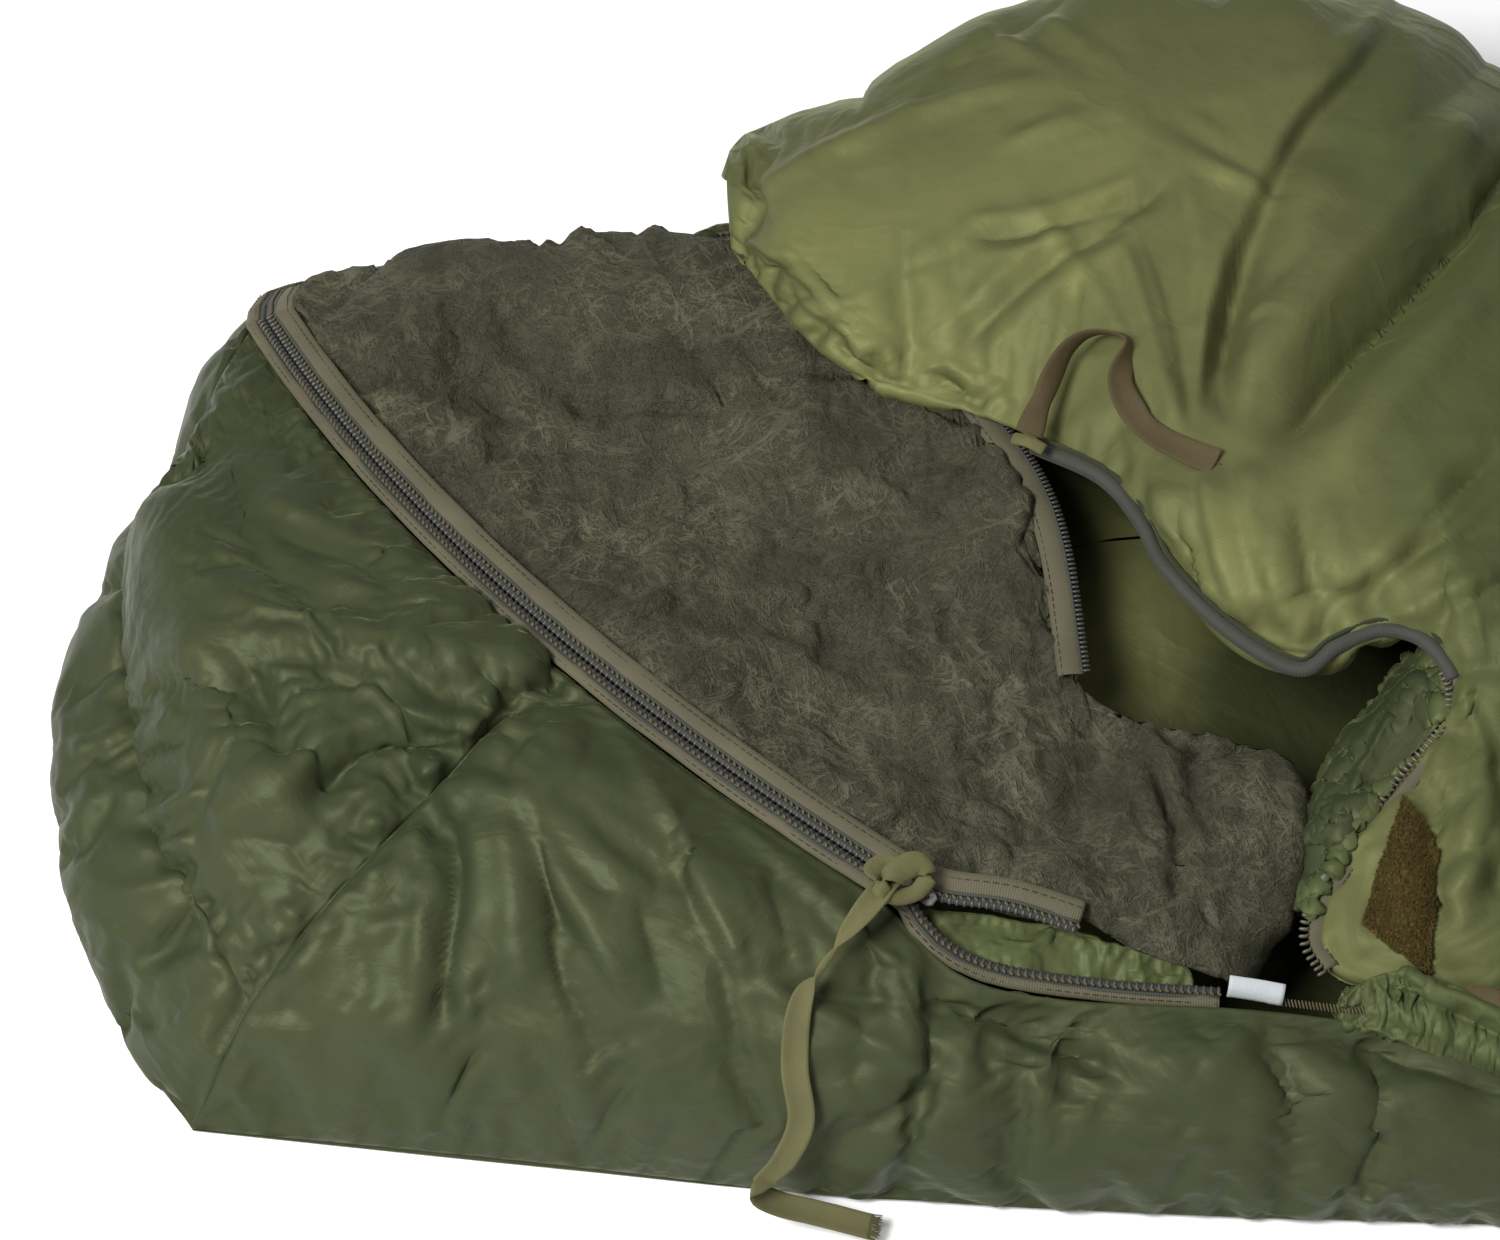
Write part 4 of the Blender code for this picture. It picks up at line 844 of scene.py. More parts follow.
def hood_panels():
    """The hood's crown, the side wall down to the foot, and the strip round the head end."""
    crown = [
        [rim(0.0, PANEL_EDGE, TAPE_DROP), (-1.052, 0.092, 0.096), (-1.060, 0.062, 0.090),
         (-1.063, 0.034, 0.080)],
        [rim(0.22, PANEL_EDGE, TAPE_DROP), (-1.020, 0.016, 0.134), (-1.062, -0.012, 0.124),
         (-1.089, -0.016, 0.080)],
        [rim(0.40, PANEL_EDGE, TAPE_DROP), (-0.980, -0.070, 0.148), (-1.034, -0.108, 0.134),
         (-1.081, -0.104, 0.082)],
        [rim(0.55, PANEL_EDGE, TAPE_DROP), (-0.944, -0.128, 0.146), (-1.000, -0.186, 0.126),
         (-1.058, -0.196, 0.082)],
        [rim(0.665, PANEL_EDGE, TAPE_DROP)] + SEAM_A,
    ]
    crown_grid = loft(crown, 84, 60)
    seam = smooth_line(crown_grid[::-1, -1], 6)  # from the corner round to the crown's left
    seam = [tuple(p + np.array((0.005, 0.003, 0.001))) for p in seam]
    quilt("hood_crown_panel", crown_grid, SHELL, SHELL, 0.011, HOOD_FOLDS, 0.05, 0.20,
          ("end", "right", "left"), nodes=layers("hood_crown"), limits=(0.016, 0.014), crumples=0.0015)
    side = [
        [rim(0.665, PANEL_EDGE, TAPE_DROP)] + SEAM_A + CORNER,
        [rim(0.80, PANEL_EDGE, TAPE_DROP), (-0.842, -0.258, 0.114), (-0.866, -0.306, 0.068),
         (-0.886, -0.320, EDGE_HEIGHT)],
        [rim(1.00, PANEL_EDGE, TAPE_DROP), (-0.728, -0.298, 0.099), (-0.742, -0.334, 0.054),
         (-0.750, -0.338, EDGE_HEIGHT)],
        [(-0.686, -0.283, 0.103), (-0.694, -0.308, 0.090), (-0.702, -0.338, 0.052),
         (-0.708, -0.341, EDGE_HEIGHT)],
        [(-0.640, -0.291, 0.094), (-0.648, -0.318, 0.080), (-0.652, -0.343, 0.046),
         (-0.655, -0.345, EDGE_HEIGHT)],
        [(-0.560, -0.292, 0.088), (-0.560, -0.318, 0.076), (-0.560, -0.347, 0.044),
         (-0.560, -0.350, EDGE_HEIGHT)],
        [(-0.500, -0.296, 0.082), (-0.500, -0.322, 0.073), (-0.500, -0.351, 0.042),
         (-0.500, -0.352, EDGE_HEIGHT)],
        [(-0.420, -0.310, 0.080), (-0.420, -0.332, 0.066), (-0.420, -0.356, 0.040),
         (-0.420, -0.355, EDGE_HEIGHT)],
        [body_rim(-0.335, -PANEL_EDGE), (-0.335, -0.336, 0.062), (-0.335, -0.361, 0.038),
         (-0.335, -0.360, EDGE_HEIGHT)],
    ]
    rest = [
        [body_rim(x, -PANEL_EDGE), (x, y + 0.032, 0.062), (x, y - 0.004, 0.036), (x, y, EDGE_HEIGHT)]
        for x, y in ((-0.335, -0.361), (0.0, -0.371), (0.45, -0.345), (0.806, -0.300))
    ]
    rest[0] = side[-1]
    grid = joined(loft(side, 118, 44), loft(rest, 84, 44))
    quilt("side_wall_panel", grid, SHELL, LIGHT, 0.011, SIDE_FOLDS, 0.05, 0.22, ("start", "left"),
          nodes=layers("side_wall"), calm=("left",), limits=(0.013, 0.013), crumples=0.0015)
    gusset = [
        [seam[0]] + CORNER,
        [seam[1], (-1.076, -0.242, 0.052), (-1.072, -0.256, EDGE_HEIGHT)],
        [seam[2], (-1.108, -0.176, 0.052), (-1.098, -0.180, EDGE_HEIGHT)],
        [seam[3], (-1.120, -0.092, 0.052), (-1.112, -0.085, EDGE_HEIGHT)],
        [seam[4], (-1.117, -0.008, 0.050), (-1.108, 0.000, EDGE_HEIGHT)],
        [seam[5], (-1.088, 0.054, 0.050), (-1.078, 0.063, EDGE_HEIGHT)],
        [(-1.046, 0.120, 0.090), (-1.064, 0.146, 0.052), (-1.048, 0.153, EDGE_HEIGHT)],
        [(-1.010, 0.192, 0.060), (-1.020, 0.222, 0.030), (-1.004, 0.226, EDGE_HEIGHT)],
        [(-0.925, 0.228, 0.042), (-0.930, 0.256, 0.024), (-0.920, 0.260, EDGE_HEIGHT)],
        [(-0.820, 0.250, 0.040), (-0.812, 0.280, 0.022), (-0.806, 0.286, EDGE_HEIGHT)],
        [(-0.700, 0.290, 0.038), (-0.698, 0.312, 0.020), (-0.698, 0.316, EDGE_HEIGHT)],
        [(-0.600, 0.326, 0.036), (-0.600, 0.344, 0.020), (-0.600, 0.348, EDGE_HEIGHT)],
    ]
    quilt("hood_gusset_panel", loft(gusset, 150, 26), SHELL, SHELL, 0.008, GUSSET_FOLDS, 0.07, 0.25,
          ("left", "start"), nodes=layers("hood_gusset"), limits=(0.008, 0.010), crumples=0.0015)


def body_zip_axes():
    """Travel, side (towards the cover) and face of the body zip."""
    travel = (BODY_ZIP_END - BODY_ZIP_START).normalized()
    face = (BODY_ZIP_FACE - travel * BODY_ZIP_FACE.dot(travel)).normalized()
    return travel, face.cross(travel).normalized(), face


def body_rim(x, side):
    """The point beside the body zip at that x."""
    share = (x - BODY_ZIP_START.x) / (BODY_ZIP_END.x - BODY_ZIP_START.x)
    return tuple(BODY_ZIP_START.lerp(BODY_ZIP_END, share) + body_zip_axes()[1] * side)


# ---- cover: the chest flap and the closed part, one cloth ----
FLAP_ROWS = [
    [(-0.790, 0.164, 0.120), (-0.792, 0.190, 0.134), (-0.792, 0.212, 0.134), (-0.791, 0.236, 0.120),
     (-0.789, 0.262, 0.098), (-0.786, 0.286, 0.070), (-0.782, 0.292, 0.046)],
    [(-0.742, 0.082, 0.124), (-0.732, 0.110, 0.144), (-0.728, 0.160, 0.154), (-0.724, 0.206, 0.154),
     (-0.720, 0.256, 0.134), (-0.718, 0.308, 0.086), (-0.716, 0.318, 0.040)],
    [(-0.694, 0.054, 0.124), (-0.688, 0.084, 0.146), (-0.684, 0.150, 0.158), (-0.682, 0.220, 0.162),
     (-0.680, 0.276, 0.144), (-0.680, 0.334, 0.088), (-0.680, 0.340, 0.034)],
    [(-0.648, 0.026, 0.130), (-0.644, 0.060, 0.149), (-0.642, 0.140, 0.162), (-0.642, 0.236, 0.170),
     (-0.642, 0.300, 0.150), (-0.642, 0.356, 0.090), (-0.642, 0.362, 0.030)],
    [(-0.604, -0.024, 0.143), (-0.592, 0.016, 0.154), (-0.584, 0.120, 0.166), (-0.580, 0.220, 0.178),
     (-0.580, 0.310, 0.166), (-0.580, 0.372, 0.100), (-0.580, 0.382, 0.026)],
    [(-0.550, -0.108, 0.139), (-0.545, -0.060, 0.151), (-0.540, 0.040, 0.160), (-0.535, 0.150, 0.168),
     (-0.530, 0.260, 0.178), (-0.530, 0.350, 0.134), (-0.530, 0.388, 0.022)],
    [(-0.512, -0.130, 0.142), (-0.508, -0.090, 0.153), (-0.502, 0.000, 0.160), (-0.500, 0.150, 0.168),
     (-0.500, 0.280, 0.176), (-0.500, 0.372, 0.112), (-0.500, 0.393, 0.018)],
    [(-0.474, -0.123, 0.149), (-0.466, -0.086, 0.157), (-0.462, 0.000, 0.160), (-0.460, 0.150, 0.163),
     (-0.460, 0.280, 0.168), (-0.460, 0.374, 0.108), (-0.460, 0.395, 0.014)],
    [(-0.452, -0.148, 0.141), (-0.436, -0.124, 0.152), (-0.432, 0.000, 0.158), (-0.430, 0.150, 0.160),
     (-0.430, 0.290, 0.160), (-0.430, 0.378, 0.100), (-0.430, 0.396, 0.012)],
    [(-0.476, -0.186, 0.123), (-0.446, -0.176, 0.138), (-0.416, -0.120, 0.149), (-0.404, 0.020, 0.157),
     (-0.400, 0.200, 0.158), (-0.400, 0.330, 0.132), (-0.400, 0.396, 0.010)],
    [(-0.508, -0.224, 0.107), (-0.462, -0.218, 0.126), (-0.410, -0.184, 0.137), (-0.385, -0.060, 0.152),
     (-0.376, 0.120, 0.156), (-0.370, 0.300, 0.132), (-0.370, 0.396, 0.008)],
    [(-0.516, -0.268, 0.090), (-0.458, -0.256, 0.112), (-0.392, -0.226, 0.122), (-0.360, -0.120, 0.143),
     (-0.350, 0.060, 0.155), (-0.350, 0.260, 0.138), (-0.350, 0.394, 0.008)],
    [(-0.450, -0.292, 0.087), (-0.410, -0.258, 0.107), (-0.360, -0.200, 0.128), (-0.340, -0.060, 0.150),
     (-0.335, 0.100, 0.155), (-0.335, 0.270, 0.132), (-0.335, 0.393, 0.006)],
]
FLAP_FOLDS = [
    ("tuck", -0.016, 0.010, [(-0.412, 0.395), (-0.448, 0.330), (-0.482, 0.282), (-0.515, 0.205),
                             (-0.540, 0.124),
                             (-0.556, 0.045)]),
    ("valley", 0.006, 0.006, [(-0.515, 0.200), (-0.534, 0.120), (-0.540, 0.053)]),
    ("valley", 0.024, 0.015, [(-0.350, 0.280), (-0.395, 0.215), (-0.430, 0.165), (-0.470, 0.112),
                              (-0.506, 0.060),
                              (-0.522, 0.030)]),
    ("ridge", 0.008, 0.022, [(-0.470, 0.270), (-0.492, 0.180), (-0.512, 0.100), (-0.522, 0.060)]),
    ("tuck", 0.006, 0.003, [(-0.526, 0.128), (-0.511, 0.133), (-0.496, 0.126)]),
    ("ridge", 0.006, 0.005, [(-0.664, 0.358), (-0.600, 0.313), (-0.538, 0.250), (-0.490, 0.216)]),
    ("ridge", 0.005, 0.005, [(-0.625, 0.371), (-0.572, 0.321), (-0.516, 0.258)]),
    ("ridge", 0.005, 0.005, [(-0.655, 0.255), (-0.590, 0.290), (-0.524, 0.305), (-0.455, 0.332)]),
    ("ridge", 0.005, 0.006, [(-0.790, 0.210), (-0.740, 0.255), (-0.660, 0.300), (-0.580, 0.322)]),
    ("valley", 0.005, 0.005, [(-0.670, 0.190), (-0.620, 0.200), (-0.565, 0.228)]),
    ("valley", 0.006, 0.006, [(-0.680, 0.100), (-0.635, 0.160), (-0.585, 0.205), (-0.545, 0.250)]),
    ("tuck", 0.006, 0.006, [(-0.785, 0.190), (-0.754, 0.160), (-0.730, 0.124), (-0.724, 0.096)]),
    ("tuck", 0.006, 0.005, [(-0.760, 0.150), (-0.730, 0.116), (-0.712, 0.086)]),
    ("valley", 0.007, 0.005, [(-0.690, 0.096), (-0.672, 0.076), (-0.660, 0.068)]),
    ("valley", 0.006, 0.006, [(-0.463, -0.045), (-0.436, 0.000), (-0.395, 0.047)]),
    ("tuck", 0.008, 0.007, [(-0.509, -0.095), (-0.497, -0.059), (-0.460, -0.033), (-0.410, 0.015)]),
    ("ridge", 0.005, 0.006, [(-0.480, -0.085), (-0.440, -0.055), (-0.405, -0.045)]),
    ("tuck", 0.010, 0.008, [(-0.579, 0.030), (-0.577, -0.007), (-0.565, -0.050), (-0.545, -0.090)]),
    ("tuck", 0.010, 0.007, [(-0.556, 0.030), (-0.552, -0.020), (-0.536, -0.080)]),
    ("tuck", 0.009, 0.007, [(-0.536, 0.040), (-0.533, -0.020), (-0.518, -0.090)]),
    ("valley", 0.007, 0.007, [(-0.508, 0.010), (-0.504, -0.050), (-0.500, -0.110)]),
    ("ridge", 0.007, 0.007, [(-0.470, -0.100), (-0.446, -0.112), (-0.433, -0.140), (-0.440, -0.190),
                             (-0.452, -0.240)]),
    ("valley", 0.009, 0.006, [(-0.455, -0.170), (-0.462, -0.210), (-0.466, -0.262)]),
    ("tuck", 0.008, 0.007, [(-0.420, -0.150), (-0.425, -0.210), (-0.440, -0.262)]),
    ("tuck", 0.007, 0.006, [(-0.395, -0.190), (-0.420, -0.240), (-0.470, -0.275)]),
]


FLAP_FOLDS += litter((-0.780, 0.100), (-0.500, 0.380), 15, 40, 22, 0.120, 0.0028, 0.0050, 61)
FLAP_FOLDS += puckers([(-0.790, 0.190), (-0.755, 0.130), (-0.725, 0.100), (-0.690, 0.085), (-0.650, 0.068)],
                      15,
                      0.028, 0.0038, 0.0045, 62)
FLAP_FOLDS += fan((-0.560, 0.030), 88, 20, 5, 0.230, 0.0045, 0.0060, 63)
FLAP_FOLDS += fan((-0.530, -0.100), 82, 34, 7, 0.120, 0.0050, 0.0055, 64)
FLAP_FOLDS += fan((-0.475, -0.250), 70, 40, 7, 0.110, 0.0045, 0.0055, 65)
FLAP_FOLDS += litter((-0.460, -0.180), (-0.360, 0.360), 12, 70, 26, 0.130, 0.0042, 0.0070, 66)
FLAP_FOLDS += litter((-0.300, -0.220), (0.800, 0.380), 44, 60, 40, 0.150, 0.0045, 0.0085, 67)


def closed_row(x, near, spine, far):
    """Section of the closed cover, from the body zip over the sleeper to the far floor seam."""
    return [body_rim(x, PANEL_EDGE), (x, near[0], near[1]), (x, -0.095 + x * 0.02, spine - 0.006),
            (x, 0.050, spine), (x, far * 0.52, spine - 0.008), (x, far * 0.84, spine - 0.052),
            (x, far + 0.001, 0.046), (x, far - 0.001, 0.004)]


def cover_panels():
    """The cover, in two pieces that meet at the flap's fold."""
    closed = [FLAP_ROWS[-1], closed_row(-0.250, (-0.212, 0.122), 0.155, 0.397),
              closed_row(0.000, (-0.200, 0.123), 0.152, 0.397),
              closed_row(0.450, (-0.178, 0.116), 0.139, 0.366),
              closed_row(0.806, (-0.158, 0.110), 0.128, 0.326)]
    head = loft(FLAP_ROWS, 108, 96)
    grid = joined(head, loft(closed, 92, 96))
    outer, inner = quilted_cloth("cover_cloth", grid, 0.0105, FLAP_FOLDS, 0.045, 0.12, ("start", "left"),
                                 (0.016, 0.016), pressure=16, crumples=0.0012)
    cut = 2 * len(head) - 1  # the last row of the flap on the finer grid
    flap = filled_panel("chest_flap_panel", outer[:cut + 1], inner[:cut + 1], FLAP_CLOTH, SHELL)
    dress_quilt(flap, layers("flap"))
    closed = filled_panel("cover_panel", outer[cut:], inner[cut:], FLAP_CLOTH, LIGHT)
    dress_quilt(closed, layers("cover"))
    for piece in (flap, closed):
        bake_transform(piece)


def foot_panel():
    """The foot end, from the cover's last seam down to a point on the floor."""
    rows = [
        [(0.806, -0.299, EDGE_HEIGHT), (0.806, -0.304, 0.036), (0.806, -0.262, 0.080),
         (0.806, -0.160, 0.111), (0.806, 0.000, 0.127), (0.806, 0.150, 0.120), (0.806, 0.262, 0.086),
         (0.806, 0.328, 0.044), (0.806, 0.326, EDGE_HEIGHT)],
        [(0.970, -0.266, EDGE_HEIGHT), (0.970, -0.271, 0.034), (0.970, -0.228, 0.070),
         (0.970, -0.140, 0.100), (0.970, 0.000, 0.115), (0.970, 0.130, 0.105), (0.970, 0.222, 0.075),
         (0.970, 0.290, 0.038), (0.970, 0.288, EDGE_HEIGHT)],
        [(1.070, -0.198, EDGE_HEIGHT), (1.074, -0.203, 0.030), (1.074, -0.170, 0.055),
         (1.074, -0.100, 0.080), (1.074, 0.000, 0.092), (1.074, 0.100, 0.083), (1.074, 0.170, 0.060),
         (1.074, 0.240, 0.032), (1.070, 0.238, EDGE_HEIGHT)],
        [(1.118, -0.120, EDGE_HEIGHT), (1.124, -0.122, 0.014), (1.124, -0.100, 0.022),
         (1.122, -0.050, 0.028), (1.122, 0.010, 0.030), (1.122, 0.070, 0.028), (1.124, 0.120, 0.022),
         (1.124, 0.162, 0.014), (1.116, 0.160, EDGE_HEIGHT)],
    ]
    quilt("foot_end_panel", loft(rows, 46, 84), COVER, LIGHT, 0.009, (), 0.06, 0.25, ("start", "end"),
          nodes=layers("foot_end"), limits=(0.010, 0.010), fine=False)


FLOOR_OUTLINE = [
    (-1.043, -0.302), (-0.870, -0.323), (-0.720, -0.339), (-0.440, -0.353), (0.000, -0.372),
    (0.450, -0.345), (0.800, -0.300), (0.970, -0.268), (1.070, -0.200), (1.120, -0.120),
    (1.128, 0.020), (1.120, 0.160), (1.070, 0.240), (0.970, 0.290), (0.800, 0.328), (0.450, 0.367),
    (0.000, 0.397), (-0.440, 0.394), (-0.600, 0.350), (-0.800, 0.288), (-0.900, 0.265),
    (-0.990, 0.233), (-1.045, 0.153), (-1.075, 0.067), (-1.108, 0.000), (-1.112, -0.085),
    (-1.098, -0.180), (-1.070, -0.257),
]


def bottom_pad():
    """The pad the sleeper lies on: dark below, light and softly quilted above."""
    ring = smooth_line([(x, y, 0) for x, y in FLOOR_OUTLINE + FLOOR_OUTLINE[:1]], 193)
    spine = np.stack([np.clip(ring[:, 0], -0.93, 0.95) * 0.96, ring[:, 1] * 0.0 + 0.01, ring[:, 2]], 1)
    shares = np.linspace(0, 1, 34)
    flat = np.stack([spine * (1 - s) + ring * s for s in shares])
    below = flat * np.array((0.998, 0.998, 1)) + np.array((0, 0, 0.0012))
    bottom = grid_object("pad_underside", below[:, ::-1], SHELL, outwards=False)
    if normals_of(bottom)[:, 2].mean() > 0:
        bottom.data.flip_normals()
    thicken(bottom, 0.0008)
    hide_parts("pad_outer")
    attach(bottom, "sack")
    inner = np.stack([spine * (1 - s) + ring * s for s in shares * 0.955])
    x, y = inner[..., 0], inner[..., 1]
    flat_points = inner.reshape(-1, 3)
    soft = (crumple(flat_points, 0.09, 21) - 0.4) * 0.009 + noise(flat_points, 0.12, 4) * 0.004
    channel = np.exp(-((np.mod(flat_points[:, 0] + 0.03, 0.22) - 0.11) / 0.008) ** 2) * -0.005
    rise = 0.040 * np.exp(-(((x + 0.575) / 0.075) ** 2) - ((y + 0.02) / 0.10) ** 2)
    inner[..., 2] = 0.030 + soft.reshape(x.shape) + channel.reshape(x.shape) + rise
    inner[..., 2] *= np.clip((1 - shares * 0.98) * 9, 0.2, 1)[:, None]
    top = grid_object("pad_lining_top", inner, PAD_CLOTH, outwards=False)
    if normals_of(top)[:, 2].mean() < 0:
        top.data.flip_normals()
    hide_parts("pad_wadding", "pad_lining")
    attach(top, "sack")


# ---- strips, teeth and stitches along a line ----
def stations_on(points, sides):
    """Point, travel, side and up at each point of a line; up points away from the floor."""
    travel = directions(np.gradient(points, axis=0))
    sides = np.broadcast_to(np.asarray(sides, float), points.shape)
    side = directions(sides - travel * (sides * travel).sum(1)[:, None])
    up = np.cross(side, travel)
    up[up[:, 2] < 0] *= -1
    return points, travel, side, up


def along(stations, pitch, start=0.0):
    """Resample stations at an even pitch, in metres."""
    length = lengths_along(stations[0])
    want = np.arange(start, length[-1], pitch)
    points, *axes = [np.stack([np.interp(want, length, values[:, k]) for k in range(3)], 1)
                     for values in stations]
    return points, *(directions(axis) for axis in axes)


def ribbon(name, stations, low, high, thickness, material, arch=0.0, waves=0.0, across=6, step=0.002,
           lift=0.0):
    """Closed tape between two offsets from the line, with soft edges. A step of 0 keeps the stations."""
    points, travel, side, up = along(stations, step) if step else stations
    count = len(points)
    share = np.linspace(0, 1, across + 1)
    low, high = (np.broadcast_to(edge, count) for edge in (low, high))
    offset = low[:, None] + (high - low)[:, None] * share
    rise = arch * np.sin(share * math.pi)[None, :] + lift
    middle = points[:, None] + side[:, None] * offset[..., None] + up[:, None] * np.broadcast_to(
        rise, offset.shape)[..., None]
    if waves:
        flat = middle.reshape(-1, 3)
        bumps = noise(flat, 0.022, 5) + 0.4 * noise(flat, 0.009, 6)
        middle = middle + up[:, None] * (bumps.reshape(offset.shape) * waves)[..., None]
    half = thickness / 2 * np.array([0.35] + [1.0] * (across - 1) + [0.35])
    top = middle + up[:, None] * half[None, :, None]
    bottom = middle - up[:, None] * half[None, :, None]
    ring = np.concatenate([top, bottom[:, ::-1]], axis=1)
    m = ring.shape[1]
    index = np.arange(count * m).reshape(count, m)
    beside = np.roll(index, -1, axis=1)
    quads = np.stack([index[:-1], index[1:], beside[1:], beside[:-1]], -1).reshape(-1, 4)
    width = np.concatenate([offset, offset[:, ::-1]], axis=1)
    uv = np.stack([np.broadcast_to(lengths_along(points)[:, None], width.shape), width], -1)
    faces = quads.tolist() + [index[0, ::-1].tolist(), index[-1].tolist()]
    obj = mesh_object(name, ring.reshape(-1, 3), faces, [material], uv.reshape(-1, 2))
    bm = bmesh.new()
    bm.from_mesh(obj.data)
    bmesh.ops.recalc_face_normals(bm, faces=bm.faces)
    bm.to_mesh(obj.data)
    bm.free()
    return obj


def bead_shape(length, width, height, sides=6):
    """Rounded bar along the first axis: points (n, 3) and faces."""
    rings, points = ((-0.5, 0.35), (-0.38, 0.85), (0.0, 1.0), (0.38, 0.85), (0.5, 0.35)), []
    for x, size in rings:
        for k in range(sides):
            a = math.tau * k / sides
            points.append((x * length, math.cos(a) * width / 2 * size, math.sin(a) * height / 2 * size))
    faces = []
    for r in range(len(rings) - 1):
        for k in range(sides):
            a, b = r * sides + k, r * sides + (k + 1) % sides
            faces.append([a, b, b + sides, a + sides])
    faces.append(list(range(sides))[::-1])
    faces.append([(len(rings) - 1) * sides + k for k in range(sides)])
    return np.array(points), faces


def scatter(name, shape, places, axes, material):
    """Copies of one shape: axes are the three directions of each copy."""
    points, faces = shape
    x, y, z = axes
    all_points = (places[:, None] + points[None, :, :1] * x[:, None] + points[None, :, 1:2] * y[:, None]
                  + points[None, :, 2:] * z[:, None])
    n = len(points)
    all_faces = [[k * n + v for v in face] for k in range(len(places)) for face in faces]
    return mesh_object(name, all_points.reshape(-1, 3), all_faces, [material])


TOOTH_PITCH = 0.0034


def teeth(name, stations, material, phase=0.0, reach=(-0.0030, 0.0016), height=0.0030, pitch=TOOTH_PITCH,
          start=0.0):
    """Coil turns across one half of the chain; side points towards the tape."""
    points, travel, side, up = along(stations, pitch, start + phase * pitch)
    middle = points + side * (sum(reach) / 2)
    return scatter(name, bead_shape(reach[1] - reach[0], pitch * 0.62, height), middle,
                   (side, travel, up), material)


def stitches(name, stations, offset, material, pitch, length, width, lift, slant=0.0):
    """A row of threads beside the line, turned by their slant."""
    points, travel, side, up = along(stations, pitch)
    middle = points + side * offset + up * lift
    run = directions(travel + side * slant)
    return scatter(name, bead_shape(length, width, width * 0.8, 5), middle, (run, np.cross(up, run), up),
                   material)


def tape_seam(name, stations, offset, length=0.0032):
    """The sewing that holds a zip tape, as far from the line as the offset."""
    return stitches(name, stations, offset, GREEN_THREAD, 0.0042, length, 0.0006, 0.0014)


def ride_all(body, *pieces):
    for piece in pieces:
        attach(piece, body)


# ---- the net zip ----
FAR_ZIP = [(-1.030, 0.168, 0.082), (-0.996, 0.204, 0.056), (-0.926, 0.222, 0.045),
           (-0.826, 0.242, 0.042), (-0.720, 0.266, 0.041), (-0.640, 0.288, 0.040)]
OPEN_HOOD_HALF = [(-0.696, -0.268, 0.110), (-0.670, -0.278, 0.100), (-0.620, -0.283, 0.094),
                  (-0.566, -0.285, 0.090)]
OPEN_NET_HALF = [(-0.690, -0.252, 0.118), (-0.662, -0.256, 0.117), (-0.630, -0.265, 0.112)]
PAST_SLIDER = 1.022


def chain_line():
    """The chain's middle line from the far side over the crown to just past the slider."""
    crown, _, crown_side, _ = arc_frame(0.0)
    far = smooth_line([*reversed(FAR_ZIP), tuple(crown)], 24)[:-1]
    down = np.array((-0.15, 0.90, -0.35))
    points, sides = list(far), []
    for k in range(len(far)):
        t = max(0.0, (k - 14) / 9)
        sides.append(down * (1 - t) + np.array(crown_side) * t)
    for k in range(41):
        point, _, side, _ = arc_frame(PAST_SLIDER * k / 40)
        points.append(tuple(point))
        sides.append(tuple(side))
    return stations_on(np.array(points), np.array(sides))


def half_chain(sign):
    """One half of the chain with its open end: the hood's for 1, the net's for -1."""
    points, travel, side, up = chain_line()
    inner = points + side * sign * HALF_OFFSET
    end = smooth_line([inner[-1]] + (OPEN_HOOD_HALF if sign > 0 else OPEN_NET_HALF), 14)
    loose = stations_on(end, np.array((-0.1, -0.9, -0.4)) * sign)
    return tuple(np.vstack([sewn, free[1:]]) for sewn, free in zip((inner, travel, side * sign, up), loose))


def net_zip():
    """Both halves of the net zip: coil with its sewing, tape, piping and seam."""
    for tag, sign, phase in (("hood", 1, 0.0), ("net", -1, 0.5)):
        half = half_chain(sign)
        coil = teeth("net_zip_teeth_" + tag, half, COIL, phase)
        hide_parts("net_zip_coil_" + tag)
        high = 0.0075 if sign > 0 else 0.0130
        tape = ribbon("net_zip_flange_" + tag, half, 0.0010, high, 0.0011, TAPE, arch=0.0012, waves=0.0007,
                      lift=-0.0002)
        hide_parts("net_zip_tape_" + tag)
        beads = stitches("net_zip_thread_" + tag, half, 0.0006, THREAD, TOOTH_PITCH, 0.0024, 0.0015, 0.0019,
                         slant=0.9 * sign)
        seam = tape_seam("net_zip_seam_" + tag, half, high * 0.72)
        cord = ribbon("net_zip_cord_" + tag, half, 0.0018, 0.0034, 0.0010, DARK_TAPE, step=0.004, across=2,
                      lift=0.0010)
        core = ribbon("net_zip_core_" + tag, half, -0.0024, 0.0020, 0.0010, CORE, step=0.004, across=2,
                      lift=0.0004)
        ride_all("sack", coil, tape, beads, seam, cord, core)


def chest_zip():
    """Tape and coil at the net's chest edge."""
    line = smooth_line([(-0.680, 0.080, 0.1150), (-0.660, 0.042, 0.1190), (-0.640, 0.000, 0.1190),
                        (-0.630, -0.042, 0.1150), (-0.624, -0.110, 0.1040)], 40)
    stations = stations_on(line, (1.0, 0.12, 0.05))
    tape = ribbon("chest_edge_tape", stations, -0.0085, 0.0040, 0.0011, TAPE, arch=0.0014, waves=0.0006)
    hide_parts("chest_tape")
    coil = teeth("chest_edge_teeth", stations, COIL, 0, (0.0036, 0.0078), 0.0024, 0.0026)
    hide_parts("chest_coil")
    seam = tape_seam("chest_edge_seam", stations, -0.0062, 0.0030)
    cord = ribbon("chest_edge_cord", stations, 0.0026, 0.0040, 0.0010, DARK_TAPE, across=2, lift=0.0008)
    ride_all("sack", tape, coil, seam, cord)


